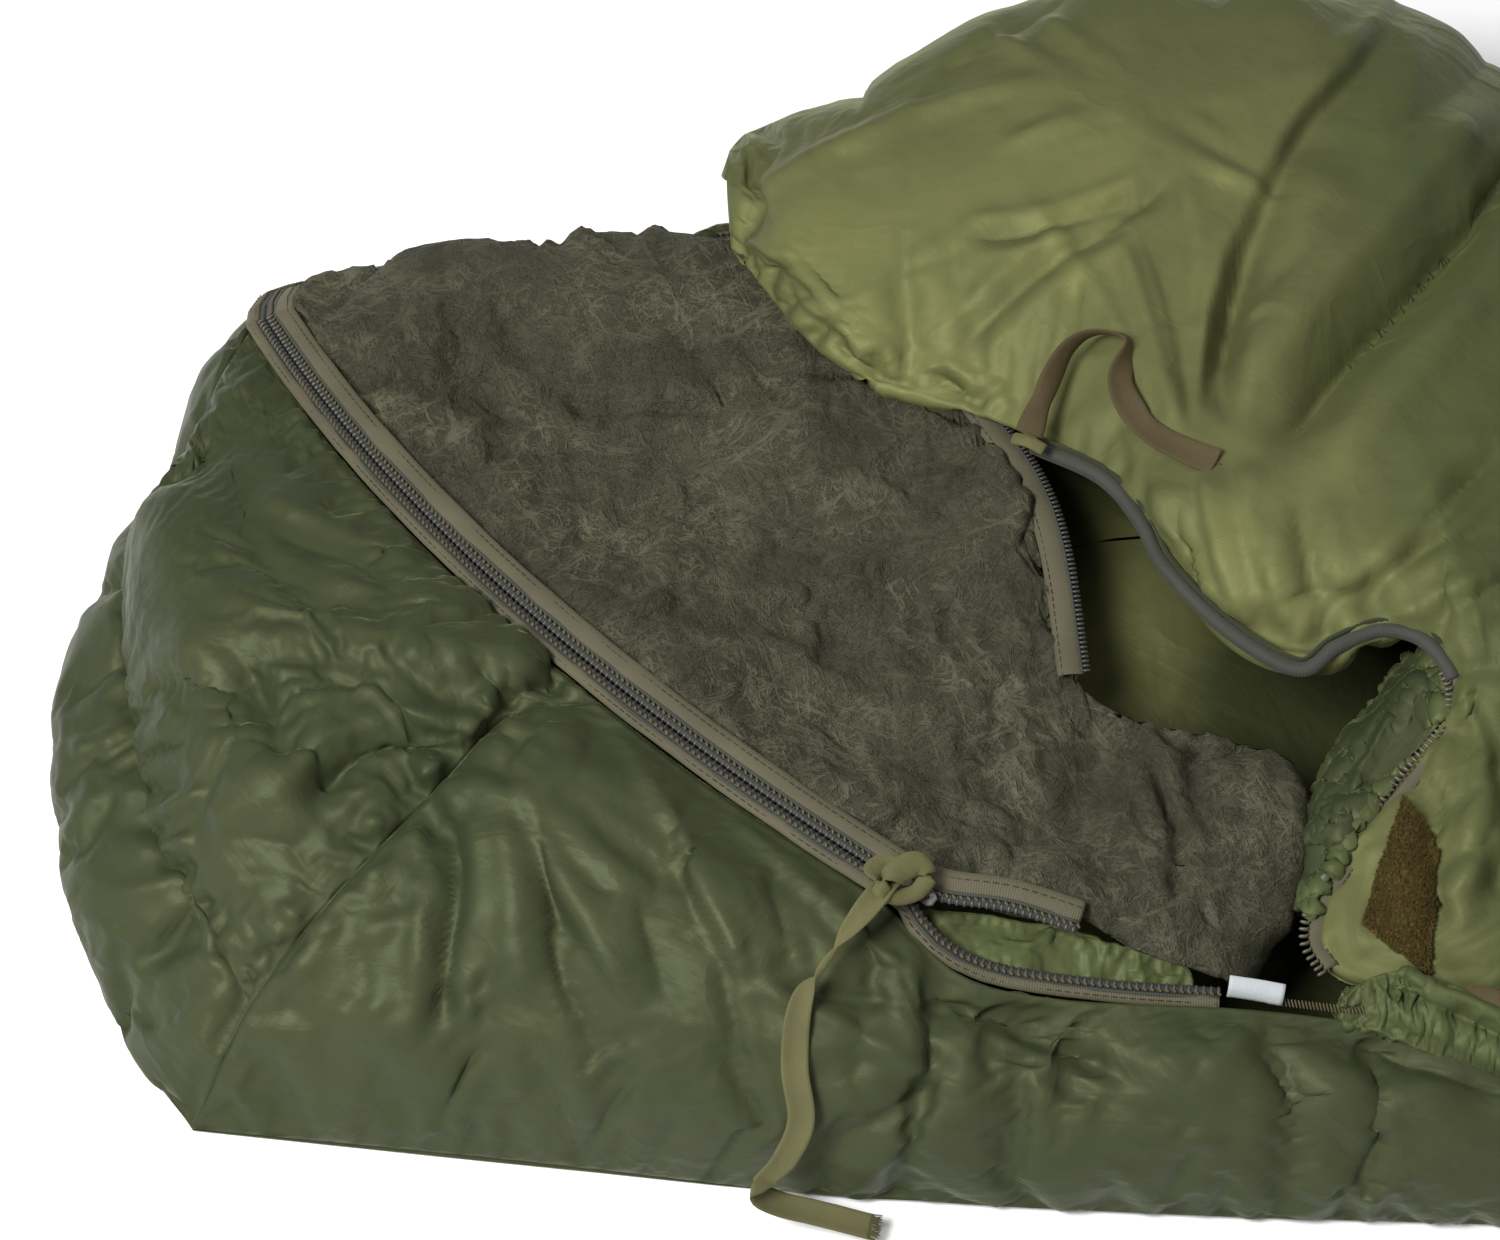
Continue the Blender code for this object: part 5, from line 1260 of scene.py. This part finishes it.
# ---- insect net ----
NET_FOLDS = [
    ("valley", 0.006, 0.007, [(-0.847, 0.150), (-0.811, 0.102), (-0.795, 0.053), (-0.805, 0.020)]),
    ("tuck", 0.006, 0.006, [(-0.872, 0.190), (-0.858, 0.124), (-0.861, 0.060)]),
    ("valley", 0.006, 0.008, [(-0.941, 0.150), (-0.923, 0.088), (-0.896, 0.047)]),
    ("ridge", 0.006, 0.006, [(-0.745, 0.020), (-0.706, -0.007), (-0.678, -0.059)]),
    ("tuck", 0.007, 0.006, [(-0.700, 0.040), (-0.690, -0.020), (-0.700, -0.080), (-0.680, -0.140)]),
    ("ridge", 0.005, 0.005, [(-0.780, -0.080), (-0.740, -0.120), (-0.690, -0.140), (-0.650, -0.130)]),
    ("valley", 0.006, 0.006, [(-0.660, -0.100), (-0.670, -0.150), (-0.650, -0.200)]),
    ("ridge", 0.004, 0.004, [(-0.720, 0.070), (-0.690, 0.045), (-0.660, 0.055)]),
]
NET_FOLDS += litter((-1.000, 0.000), (-0.700, 0.200), 46, 75, 40, 0.060, 0.0040, 0.0040, 71)
NET_FOLDS += litter((-0.860, -0.120), (-0.650, 0.080), 40, 110, 45, 0.050, 0.0040, 0.0040, 72)
NET_FOLDS += litter((-0.720, -0.260), (-0.540, -0.120), 46, 60, 50, 0.045, 0.0045, 0.0038, 73)
NET_FOLDS += fan((-0.690, -0.205), 120, 50, 9, 0.110, 0.0050, 0.0050, 74)
NET_FOLDS += [
    ("tuck", 0.008, 0.006, [(-0.545, -0.150), (-0.548, -0.200), (-0.566, -0.262)]),
    ("tuck", 0.008, 0.005, [(-0.532, -0.160), (-0.537, -0.210), (-0.552, -0.262)]),
    ("valley", 0.006, 0.005, [(-0.600, -0.150), (-0.585, -0.200), (-0.590, -0.250)]),
    ("ridge", 0.006, 0.006, [(-0.620, -0.180), (-0.590, -0.160), (-0.560, -0.165), (-0.548, -0.190)]),
]


NET_PRESSURE, NET_FRAMES = 1.5, 14
NET_STIFFNESS, NET_BENDING = 10, 0.02
NET_TRAVEL = 0.010


def net_sheet(name, grid, folds, grow, rough):
    """A crushed layer of net, pinned at its border."""
    obj = grid_object(name, grid, NET)
    start = (points_of(obj), normals_of(obj))
    border = rim_weights(grid.shape[:2])
    free = 1 - border
    set_points(obj, start[0] + start[1] * (fold_offsets(start[0], folds) * free)[:, None])
    settle(obj, border, grow, NET_PRESSURE, NET_FRAMES, NET_STIFFNESS, NET_BENDING, mass=0.08)
    cap_travel(obj, start, NET_TRAVEL, NET_TRAVEL)
    points, normal = points_of(obj), normals_of(obj)
    height = (crumple(points, 0.030, 31, (1.0, 0.6, 1.0)) - 0.35) * rough
    height += (crumple(points, 0.010, 37, (1.0, 0.5, 1.0)) - 0.3) * rough * 0.35
    set_points(obj, points + normal * (height * free)[:, None])
    thicken(obj, 0.0005)
    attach(obj, "sack")
    return obj


NET_SEWN = (-0.0130, -0.004)  # where the net is sewn to the tape: side and lift from the zip's line


def insect_net():
    """The face net, and its second layer a little below it."""
    rows = [
        [rim(0.0, *NET_SEWN), (-1.016, 0.152, 0.101), (-1.008, 0.172, 0.092), (-1.000, 0.196, 0.060)],
        [rim(0.20, *NET_SEWN), (-0.956, 0.110, 0.112), (-0.944, 0.166, 0.105), (-0.934, 0.186, 0.094),
         (-0.932, 0.210, 0.050)],
        [rim(0.40, *NET_SEWN), (-0.898, 0.060, 0.109), (-0.878, 0.146, 0.106), (-0.856, 0.190, 0.100),
         (-0.850, 0.226, 0.046)],
        [rim(0.58, *NET_SEWN), (-0.838, 0.020, 0.106), (-0.812, 0.110, 0.106), (-0.784, 0.188, 0.104),
         (-0.772, 0.244, 0.044)],
        [rim(0.74, *NET_SEWN), (-0.778, 0.000, 0.104), (-0.742, 0.120, 0.107), (-0.706, 0.204, 0.102),
         (-0.664, 0.274, 0.043)],
        [rim(0.87, *NET_SEWN), (-0.750, -0.060, 0.102), (-0.715, 0.060, 0.109), (-0.676, 0.180, 0.100)],
        [rim(0.985, *NET_SEWN), (-0.712, -0.130, 0.100), (-0.688, -0.020, 0.109), (-0.672, 0.062, 0.114)],
        [(-0.672, -0.245, 0.113), (-0.662, -0.160, 0.099), (-0.652, -0.080, 0.106),
         (-0.644, -0.010, 0.116)],
        [(-0.636, -0.252, 0.109), (-0.630, -0.205, 0.098), (-0.628, -0.155, 0.098),
         (-0.628, -0.100, 0.103)],
        [(-0.610, -0.266, 0.102), (-0.600, -0.212, 0.102), (-0.600, -0.170, 0.101),
         (-0.602, -0.132, 0.100)],
        [(-0.580, -0.274, 0.094), (-0.566, -0.214, 0.105), (-0.564, -0.176, 0.103),
         (-0.566, -0.142, 0.098)],
        [(-0.560, -0.276, 0.088), (-0.536, -0.216, 0.101), (-0.530, -0.182, 0.100),
         (-0.528, -0.152, 0.092)],
        [(-0.552, -0.274, 0.078), (-0.528, -0.220, 0.079), (-0.518, -0.192, 0.076),
         (-0.514, -0.166, 0.068)],
        [(-0.556, -0.262, 0.060), (-0.536, -0.216, 0.056), (-0.526, -0.196, 0.050),
         (-0.520, -0.178, 0.046)],
    ]
    panel = net_sheet("insect_net_panel", loft(rows, 196, 112), NET_FOLDS, 0.07, 0.0045)
    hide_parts("net_panel", "net_gathers")
    low = [[(x, y, z - 0.012) for x, y, z in row[:-1]]
           + [(row[-1][0], row[-1][1] - 0.004, row[-1][2] - 0.006)]
           for row in rows[:9]]
    low[0] = [(x + 0.004, y - 0.004, z - 0.006) for x, y, z in rows[0]]
    net_sheet("insect_net_under_layer", loft(low, 70, 58), [], 0.05, 0.006)


# ---- pull tape ----
PULL_ROUTE = [(-0.7140, -0.2500, 0.1330), (-0.724, -0.2640, 0.1345), (-0.744, -0.288, 0.1250),
              (-0.757, -0.304, 0.1110), (-0.7600, -0.3240, 0.0900), (-0.757, -0.3390, 0.0680),
              (-0.764, -0.3480, 0.0500), (-0.773, -0.3510, 0.0360), (-0.7755, -0.3520, 0.0270),
              (-0.766, -0.3530, 0.0200), (-0.748, -0.3550, 0.0150), (-0.724, -0.3590, 0.0100)]


def pull_tape():
    """Olive tape tied to the net zip's slider, twisted thin, then hanging flat to a cut end."""
    line = smooth_line(PULL_ROUTE, 120)
    share = np.linspace(0, 1, 120)
    turn = 2.4 * np.exp(-(((share - 0.235) / 0.05) ** 2))
    late = np.clip((share - 0.72) / 0.06, 0, 1)[:, None]  # the cut end lies flat on the floor
    sides = np.array((1.0, 0.1, 0.0)) * (1 - late) + np.array((0.2, 1.0, 0.25)) * late
    points, travel, side, up = stations_on(line, sides)
    c, s = np.cos(turn)[:, None], np.sin(turn)[:, None]
    side, up = side * c + up * s, up * c - side * s
    pinch = 1 - 0.66 * np.exp(-(((share - 0.22) / 0.085) ** 2)) - 0.15 * np.exp(-((share / 0.08) ** 2))
    half = 0.0062 * pinch
    tape = ribbon("pull_tape_strip", (points, travel, side, up), -half, half, 0.0011, PULL, arch=-0.0014,
                  waves=0.0009, across=8, step=0)
    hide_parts("pull_tape")
    knot = knot_piece()
    frays = fray_piece(points[-1], travel[-1], side[-1], up[-1])
    ride_all("net_zip_slider", tape, knot, frays)
    for piece in (tape, frays):
        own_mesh(piece)


def knot_piece():
    """The tape's knot through the slider's bail: a crossed loop and a wrapped turn."""
    loop = smooth_line([(-0.722, -0.263, 0.1330), (-0.714, -0.252, 0.1365), (-0.705, -0.246, 0.1360),
                        (-0.700, -0.249, 0.1320), (-0.704, -0.256, 0.1290), (-0.713, -0.260, 0.1300),
                        (-0.722, -0.259, 0.1345), (-0.725, -0.252, 0.1350), (-0.719, -0.246, 0.1335),
                        (-0.709, -0.248, 0.1330)], 70)
    share = np.linspace(0, 1, 70)[:, None]
    sides = np.array((0.5, 0.6, 0.1)) * (1 - share) + np.array((-0.7, 0.4, 0.5)) * share
    half = 0.0050 + 0.0012 * np.sin(np.linspace(0, 9, 70))
    return ribbon("pull_tape_knot", stations_on(loop, sides), -half, half, 0.0016, PULL, arch=0.0018,
                  waves=0.0012, across=6, step=0)


def fray_piece(point, travel, side, up):
    """Loose yarns at the tape's cut end."""
    rng = np.random.default_rng(7)
    count = 46
    offset = rng.uniform(-0.006, 0.006, count)
    places = point + side * offset[:, None] + travel * rng.uniform(0.0, 0.0022, count)[:, None]
    run = travel + side * rng.normal(0, 0.35, count)[:, None] + up * rng.normal(0, 0.18, count)[:, None]
    run = directions(run)
    y = np.cross(np.broadcast_to(up, run.shape), run)
    return scatter("pull_tape_frays", bead_shape(0.0046, 0.0006, 0.0005, 5), places,
                   (run, y, np.cross(run, y)), PULL)


# ---- trim of the chest flap ----
FLAP_ZIP = [(-0.641, 0.006, 0.1400), (-0.609, -0.019, 0.1440), (-0.592, -0.046, 0.1430),
            (-0.581, -0.074, 0.1400), (-0.553, -0.112, 0.1385), (-0.523, -0.136, 0.1400),
            (-0.505, -0.127, 0.1460), (-0.483, -0.120, 0.1500), (-0.463, -0.128, 0.1500),
            (-0.451, -0.149, 0.1420), (-0.457, -0.168, 0.1320), (-0.478, -0.190, 0.1210),
            (-0.508, -0.226, 0.1060), (-0.519, -0.242, 0.0990), (-0.523, -0.258, 0.0930),
            (-0.516, -0.272, 0.0890)]


def surface_of(obj):
    mesh = obj.data
    return BVHTree.FromPolygons([v.co for v in mesh.vertices], [tuple(p.vertices) for p in mesh.polygons])


def on_surface(tree, x, y, lift=0.0):
    """The point of a piece that is seen at that place of the fold level, and the way it faces."""
    toward = (Vector((x, y, FOLD_LEVEL)) - LOOK_FROM).normalized()
    hit, normal, _, _ = tree.ray_cast(LOOK_FROM, toward)
    if hit is None:
        return Vector((x, y, FOLD_LEVEL)), Vector((0, 0, 1))
    if normal.dot(toward) > 0:
        normal = -normal
    return hit + normal * lift, normal


def patch_grid(tree, corners, count, lift):
    """Grid of points on a piece, between four corners given on the fold level."""
    a, b, c, d = [np.array(p) for p in corners]
    grid = np.zeros((count, count, 3))
    for i, s in enumerate(np.linspace(0, 1, count)):
        for k, t in enumerate(np.linspace(0, 1, count)):
            p = (a * (1 - s) + b * s) * (1 - t) + (d * (1 - s) + c * s) * t
            grid[i, k] = on_surface(tree, p[0], p[1], lift)[0]
    return grid


def flap_zip():
    """The flap's half of the chest zip: a rolled dark tape, teeth on its last stretch, and a stop."""
    line = smooth_line(FLAP_ZIP, 140)
    down = np.array((-0.55, -0.65, -0.35))
    share = np.linspace(0, 1, 140)
    late = np.clip((share - 0.60) / 0.08, 0, 1)[:, None]
    stations = stations_on(line, down * (1 - late) + np.array((-0.75, 0.45, 0.15)) * late)

    def cut(low, high):
        return tuple(v[int(low * 140):int(high * 140)] for v in stations)

    rolled = ribbon("flap_zip_rolled_tape", cut(0.0, 0.64), -0.0034, 0.0036, 0.0034, DARK_TAPE, arch=0.0016,
                    waves=0.0008, across=8)
    welt = ribbon("flap_zip_welt", cut(0.0, 0.66), -0.0062, -0.0036, 0.0022, GREEN_THREAD, arch=0.0006,
                  across=3)
    flat = ribbon("flap_zip_flat_tape", cut(0.60, 1.0), -0.0070, 0.0010, 0.0010, TAPE, arch=0.0008,
                  waves=0.0006)
    coil = teeth("flap_zip_teeth", cut(0.62, 1.0), COIL_PALE, 0, (0.0006, 0.0056), 0.0028, 0.0030)
    bead = stitches("flap_zip_thread", cut(0.62, 1.0), 0.0020, THREAD, 0.0030, 0.0018, 0.0011, 0.0016, 0.9)
    seam = stitches("flap_zip_seam", cut(0.66, 1.0), -0.0052, GREEN_THREAD, 0.0040, 0.0030, 0.0006, 0.0012)
    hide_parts("flap_zip_tape")
    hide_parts("flap_zip_coil")
    point, travel, side, up = (v[125:126] for v in stations)
    stop = scatter("flap_zip_top_stop", bead_shape(0.0075, 0.0052, 0.0046, 10),
                   point + side * 0.003 + up * 0.001, (travel, side, up), BRIGHT)
    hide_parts("flap_zip_stop")
    ride_all("chest_flap", rolled, welt, flat, coil, bead, seam, stop)


def draft_tube():
    """The padded tube behind the flap's zip."""
    rows = [
        [(-0.462, -0.106, 0.116), (-0.455, -0.118, 0.130), (-0.451, -0.142, 0.136)],
        [(-0.480, -0.122, 0.102), (-0.472, -0.136, 0.126), (-0.459, -0.166, 0.130)],
        [(-0.502, -0.156, 0.092), (-0.494, -0.162, 0.116), (-0.479, -0.188, 0.119)],
        [(-0.519, -0.188, 0.086), (-0.514, -0.196, 0.108), (-0.504, -0.218, 0.107)],
        [(-0.527, -0.210, 0.082), (-0.523, -0.218, 0.100), (-0.517, -0.236, 0.099)],
        [(-0.524, -0.236, 0.080), (-0.524, -0.242, 0.094), (-0.521, -0.250, 0.094)],
    ]
    folds = [("valley", 0.004, 0.004, [(-0.468, -0.130), (-0.490, -0.165), (-0.500, -0.190)]),
             ("ridge", 0.004, 0.006, [(-0.476, -0.120), (-0.500, -0.165), (-0.514, -0.200)])]
    quilt("draft_tube_panel", loft(rows, 60, 30), DRAFT, SHELL, 0.006, folds, 0.10, 0.2, ("left", "right"),
          pressure=12, frames=12, limits=(0.006, 0.006), nodes=["draft_tube"], body="chest_flap", fill=0.5)


def webbing_loop(tree):
    """Brown webbing sewn down at both ends; it twists over at the top."""
    route = [(-0.644, 0.002, 0.1530), (-0.639, 0.014, 0.1590), (-0.631, 0.030, 0.1680),
             (-0.624, 0.040, 0.1750),
             (-0.614, 0.046, 0.1790), (-0.602, 0.045, 0.1800), (-0.594, 0.038, 0.1780)]
    laid = [(-0.587, 0.082), (-0.582, 0.062), (-0.574, 0.048), (-0.560, 0.038), (-0.546, 0.030)]
    lifts = (0.009, 0.006, 0.004, 0.0025, 0.002)
    route += [tuple(on_surface(tree, x, y, lift)[0]) for (x, y), lift in zip(laid, lifts)]
    sides = smooth_line([(1, 0.2, 0.1), (1, 0.1, 0), (0.9, 0.1, -0.5), (0.5, 0.3, -0.9), (0.0, 0.6, -0.8),
                         (0.1, 0.7, -0.7), (0.6, 0.5, -0.5), (1, 0.1, 0), (1, 0.0, 0.0), (0.8, 0.55, 0.1),
                         (0.35, 0.9, 0.3), (0.25, 0.95, 0.35)], 150)
    line = smooth_line(route, 150)
    points, travel, side, _ = stations_on(line, sides)
    up = np.cross(side, travel)
    half = 0.0070 - 0.0016 * np.exp(-((np.linspace(0, 1, 150) - 0.10) / 0.05) ** 2)
    loop = ribbon("webbing_loop_strap", (points, travel, side, up), -half, half, 0.0016, WEBBING,
                  arch=0.0012,
                  waves=0.0008, across=8, step=0)
    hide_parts("webbing_loop")
    tack = stitches("webbing_loop_tack", tuple(v[132:148] for v in (points, travel, side, up)), 0.0,
                    WEBBING,
                    0.0022, 0.010, 0.0008, 0.0012)
    tab = smooth_line([(-0.651, 0.004, 0.1480), (-0.644, -0.001, 0.1510), (-0.636, -0.006, 0.1500)], 24)
    tab = ribbon("thread_tab", stations_on(tab, (0.4, 0.9, 0.2)), -0.0034, 0.0034, 0.0014, PULL, arch=0.001,
                 waves=0.0012)
    ride_all("chest_flap", loop, tack, tab)


def hook_patch(tree):
    """Hook-and-loop patch on the flap: a backing cloth and its pile."""
    corners = [(-0.473, -0.181), (-0.460, -0.212), (-0.472, -0.282), (-0.501, -0.254)]
    grid = patch_grid(tree, corners, 26, 0.0026)
    smooth = grid.copy()
    for _ in range(6):
        smooth[1:-1, 1:-1] = (smooth[:-2, 1:-1] + smooth[2:, 1:-1]
                              + smooth[1:-1, :-2] + smooth[1:-1, 2:]) / 4
    patch = grid_object("hook_patch_base", smooth, FUZZ)
    normal = normals_of(patch)
    if normal[:, 2].mean() < 0:
        patch.data.flip_normals()
        normal = -normal
    rng = np.random.default_rng(11)
    count = 5200
    i, k = rng.integers(0, 25, count), rng.integers(0, 25, count)
    a, b = rng.random(count)[:, None], rng.random(count)[:, None]
    places = ((smooth[i, k] * (1 - a) + smooth[i + 1, k] * a) * (1 - b)
              + (smooth[i, k + 1] * (1 - a) + smooth[i + 1, k + 1] * a) * b)
    up = normal.mean(0)
    run = directions(up + rng.normal(0, 0.75, (count, 3)))
    y = directions(np.cross(run, rng.normal(0, 1, (count, 3))))
    hooks = scatter("hook_patch_pile", bead_shape(0.0026, 0.00042, 0.00042, 3), places + up * 0.0009,
                    (run, y, np.cross(run, y)), FUZZ)
    thicken(patch, 0.0016)
    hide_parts("hook_patch")
    ride_all("chest_flap", patch, hooks)


# ---- small pieces at the open end of the net zip ----
def near_trim():
    """Draft strip, label, overlocked edge, second webbing and the rolled end of the shell."""
    rows = [
        [(-0.706, -0.250, 0.106), (-0.708, -0.258, 0.101), (-0.708, -0.268, 0.098)],
        [(-0.676, -0.252, 0.106), (-0.678, -0.264, 0.105), (-0.680, -0.277, 0.097)],
        [(-0.640, -0.258, 0.102), (-0.640, -0.270, 0.100), (-0.642, -0.283, 0.091)],
        [(-0.606, -0.266, 0.098), (-0.604, -0.275, 0.094), (-0.604, -0.284, 0.088)],
        [(-0.580, -0.272, 0.092), (-0.578, -0.278, 0.090), (-0.578, -0.284, 0.086)],
    ]
    quilt("zip_draft_flap", loft(rows, 80, 24), DRAFT, SHELL, 0.0015, (), 0.12, 0.25, ("right", "start"),
          pressure=10, frames=12, limits=(0.005, 0.004), nodes=["zip_draft_strip"], slot="lining_fabric",
          crumples=0.003, fine=False, fill=0.2)
    label_line = smooth_line([(-0.563, -0.284, 0.0950), (-0.550, -0.286, 0.0945), (-0.538, -0.288, 0.0935)],
                             16)
    label = ribbon("blank_care_label", stations_on(label_line, (0.0, -0.55, -0.84)), -0.0050, 0.0056,
                   0.0008, LABEL,
                   arch=0.0020, waves=0.0005, across=8, step=0)
    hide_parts("side_label")
    edge = stations_on(smooth_line([(-0.545, -0.289, 0.0900), (-0.526, -0.291, 0.0890),
                                    (-0.506, -0.293, 0.0885),
                                    (-0.495, -0.292, 0.0890)], 40), (0.0, -0.7, -0.6))
    overlock = stitches("overlock_stitches", edge, 0.0, THREAD, 0.0016, 0.0040, 0.0009, 0.0, slant=2.5)
    strap = smooth_line([(-0.456, -0.290, 0.0935), (-0.445, -0.295, 0.0965), (-0.430, -0.302, 0.0955),
                         (-0.414, -0.309, 0.0890)], 40)
    second = ribbon("side_webbing_strap", stations_on(strap, (0.25, 0.9, 0.35)), -0.0070, 0.0070, 0.0016,
                    WEBBING,
                    arch=0.0014, waves=0.0006, across=8)
    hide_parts("side_webbing_loop")
    ride_all("sack", label, overlock, second)
    rows = [
        [(-0.512, -0.284, 0.080), (-0.511, -0.288, 0.092), (-0.511, -0.296, 0.084)],
        [(-0.490, -0.274, 0.078), (-0.488, -0.286, 0.099), (-0.488, -0.305, 0.082)],
        [(-0.465, -0.278, 0.076), (-0.462, -0.294, 0.097), (-0.462, -0.314, 0.076)],
        [(-0.430, -0.288, 0.074), (-0.428, -0.304, 0.093), (-0.428, -0.324, 0.070)],
        [(-0.380, -0.292, 0.076), (-0.378, -0.308, 0.090), (-0.378, -0.326, 0.068)],
    ]
    folds = [("valley", 0.005, 0.005, [(-0.500, -0.285), (-0.470, -0.300), (-0.430, -0.325)]),
             ("tuck", 0.004, 0.004, [(-0.490, -0.275), (-0.478, -0.290), (-0.470, -0.310)])]
    quilt("zip_end_roll", loft(rows, 110, 30), DRAFT, SHELL, 0.006, folds, 0.12, 0.3,
          ("left", "right", "start"),
          pressure=12, frames=12, limits=(0.006, 0.006))


# ---- the body zip ----
def body_zip():
    """Both halves of the zip down the side, closed along its whole length."""
    travel, across, face = (np.array(v) for v in body_zip_axes())
    for tag, sign, start, phase in (("side", -1, -0.060, 0.0), ("cover", 1, -0.013, 0.5)):
        ends = np.array([np.array(BODY_ZIP_START) + travel * start, np.array(BODY_ZIP_END)])
        ends += across * sign * HALF_OFFSET
        line = ends[0] + (ends[1] - ends[0]) * np.linspace(0, 1, 60)[:, None]
        stations = (line, *(np.broadcast_to(axis, line.shape) for axis in (travel, across * sign, face)))
        coil = teeth("body_zip_teeth_" + tag, stations, COIL, phase,
                     start=0 if sign < 0 else TOOTH_PITCH * 0.1)
        tape = ribbon("body_zip_flange_" + tag, stations, 0.0010, 0.0100, 0.0011, TAPE, arch=0.0010,
                      waves=0.0006, step=0.004)
        beads = stitches("body_zip_thread_" + tag, stations, -0.0003, THREAD, TOOTH_PITCH, 0.0019, 0.0013,
                         0.0016, slant=0.9 * sign)
        seam = tape_seam("body_zip_seam_" + tag, stations, 0.0074)
        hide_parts("body_zip_coil_" + tag)
        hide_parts("body_zip_tape_" + tag)
        ride_all("sack", coil, tape, beads, seam)


def paint_nodes():
    """The sliders and pull tabs are shown as the CAD made them, in worn paint."""
    for name in ("net_zip_slider", "net_zip_pull", "body_zip_slider", "body_zip_pull"):
        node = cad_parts[name]
        node.data.materials.clear()
        node.data.materials.append(METAL)


# ---- stage ----
WORLD_LIGHT = 0.38
KEY_POWER = 92
TOP_POWER = 13


def area_light(name, place, aim, size, power):
    light = bpy.data.lights.new(name, "AREA")
    light.shape = "RECTANGLE"
    light.size, light.size_y = size
    light.energy = power
    obj = linked(name, light)
    obj.location = place
    obj.rotation_euler = (Vector(aim) - Vector(place)).to_track_quat("-Z", "Y").to_euler()


def stage():
    """Pale floor, soft studio light, and the camera at the photographer's place."""
    mesh = bpy.data.meshes.new("studio_floor")
    mesh.from_pydata([(-9, -9, 0), (9, -9, 0), (9, 9, 0), (-9, 9, 0)], [], [(0, 1, 2, 3)])
    floor = linked("studio_floor", mesh)
    floor.location.z = -0.0005  # just below the sack's underside
    n = Nodes("pale_floor")
    mesh.materials.append(n.finish((0.90, 0.90, 0.90), 0.9))
    world = bpy.data.worlds.new("studio")
    bpy.context.scene.world = world
    world.use_nodes = True
    back = world.node_tree.nodes["Background"]
    back.inputs["Color"].default_value = (1, 1, 1, 1)
    back.inputs["Strength"].default_value = WORLD_LIGHT
    area_light("key", (-1.85, -1.15, 1.95), (-0.75, 0.0, 0.1), (0.9, 0.9), KEY_POWER)
    area_light("top", (0.2, 0.9, 2.6), (-0.7, 0.0, 0.1), (2.0, 1.4), TOP_POWER)
    camera = bpy.data.cameras.new("camera")
    camera.lens, camera.sensor_width = 98, 36
    eye = linked("camera", camera)
    eye.location = LOOK_FROM
    eye.rotation_euler = (math.pi / 2 - LOOK_ELEVATION, 0, 0)
    bpy.context.scene.camera = eye
    bpy.context.scene.view_settings.view_transform = "Standard"


# ==== build ====
hood_panels()
cover_panels()
foot_panel()
bottom_pad()
net_zip()
chest_zip()
insect_net()
pull_tape()
flap_zip()
draft_tube()
FLAP_SURFACE = surface_of(bpy.data.objects["chest_flap_panel"])
webbing_loop(FLAP_SURFACE)
hook_patch(FLAP_SURFACE)
near_trim()
body_zip()
paint_nodes()
stage()
bpy.context.view_layer.update()
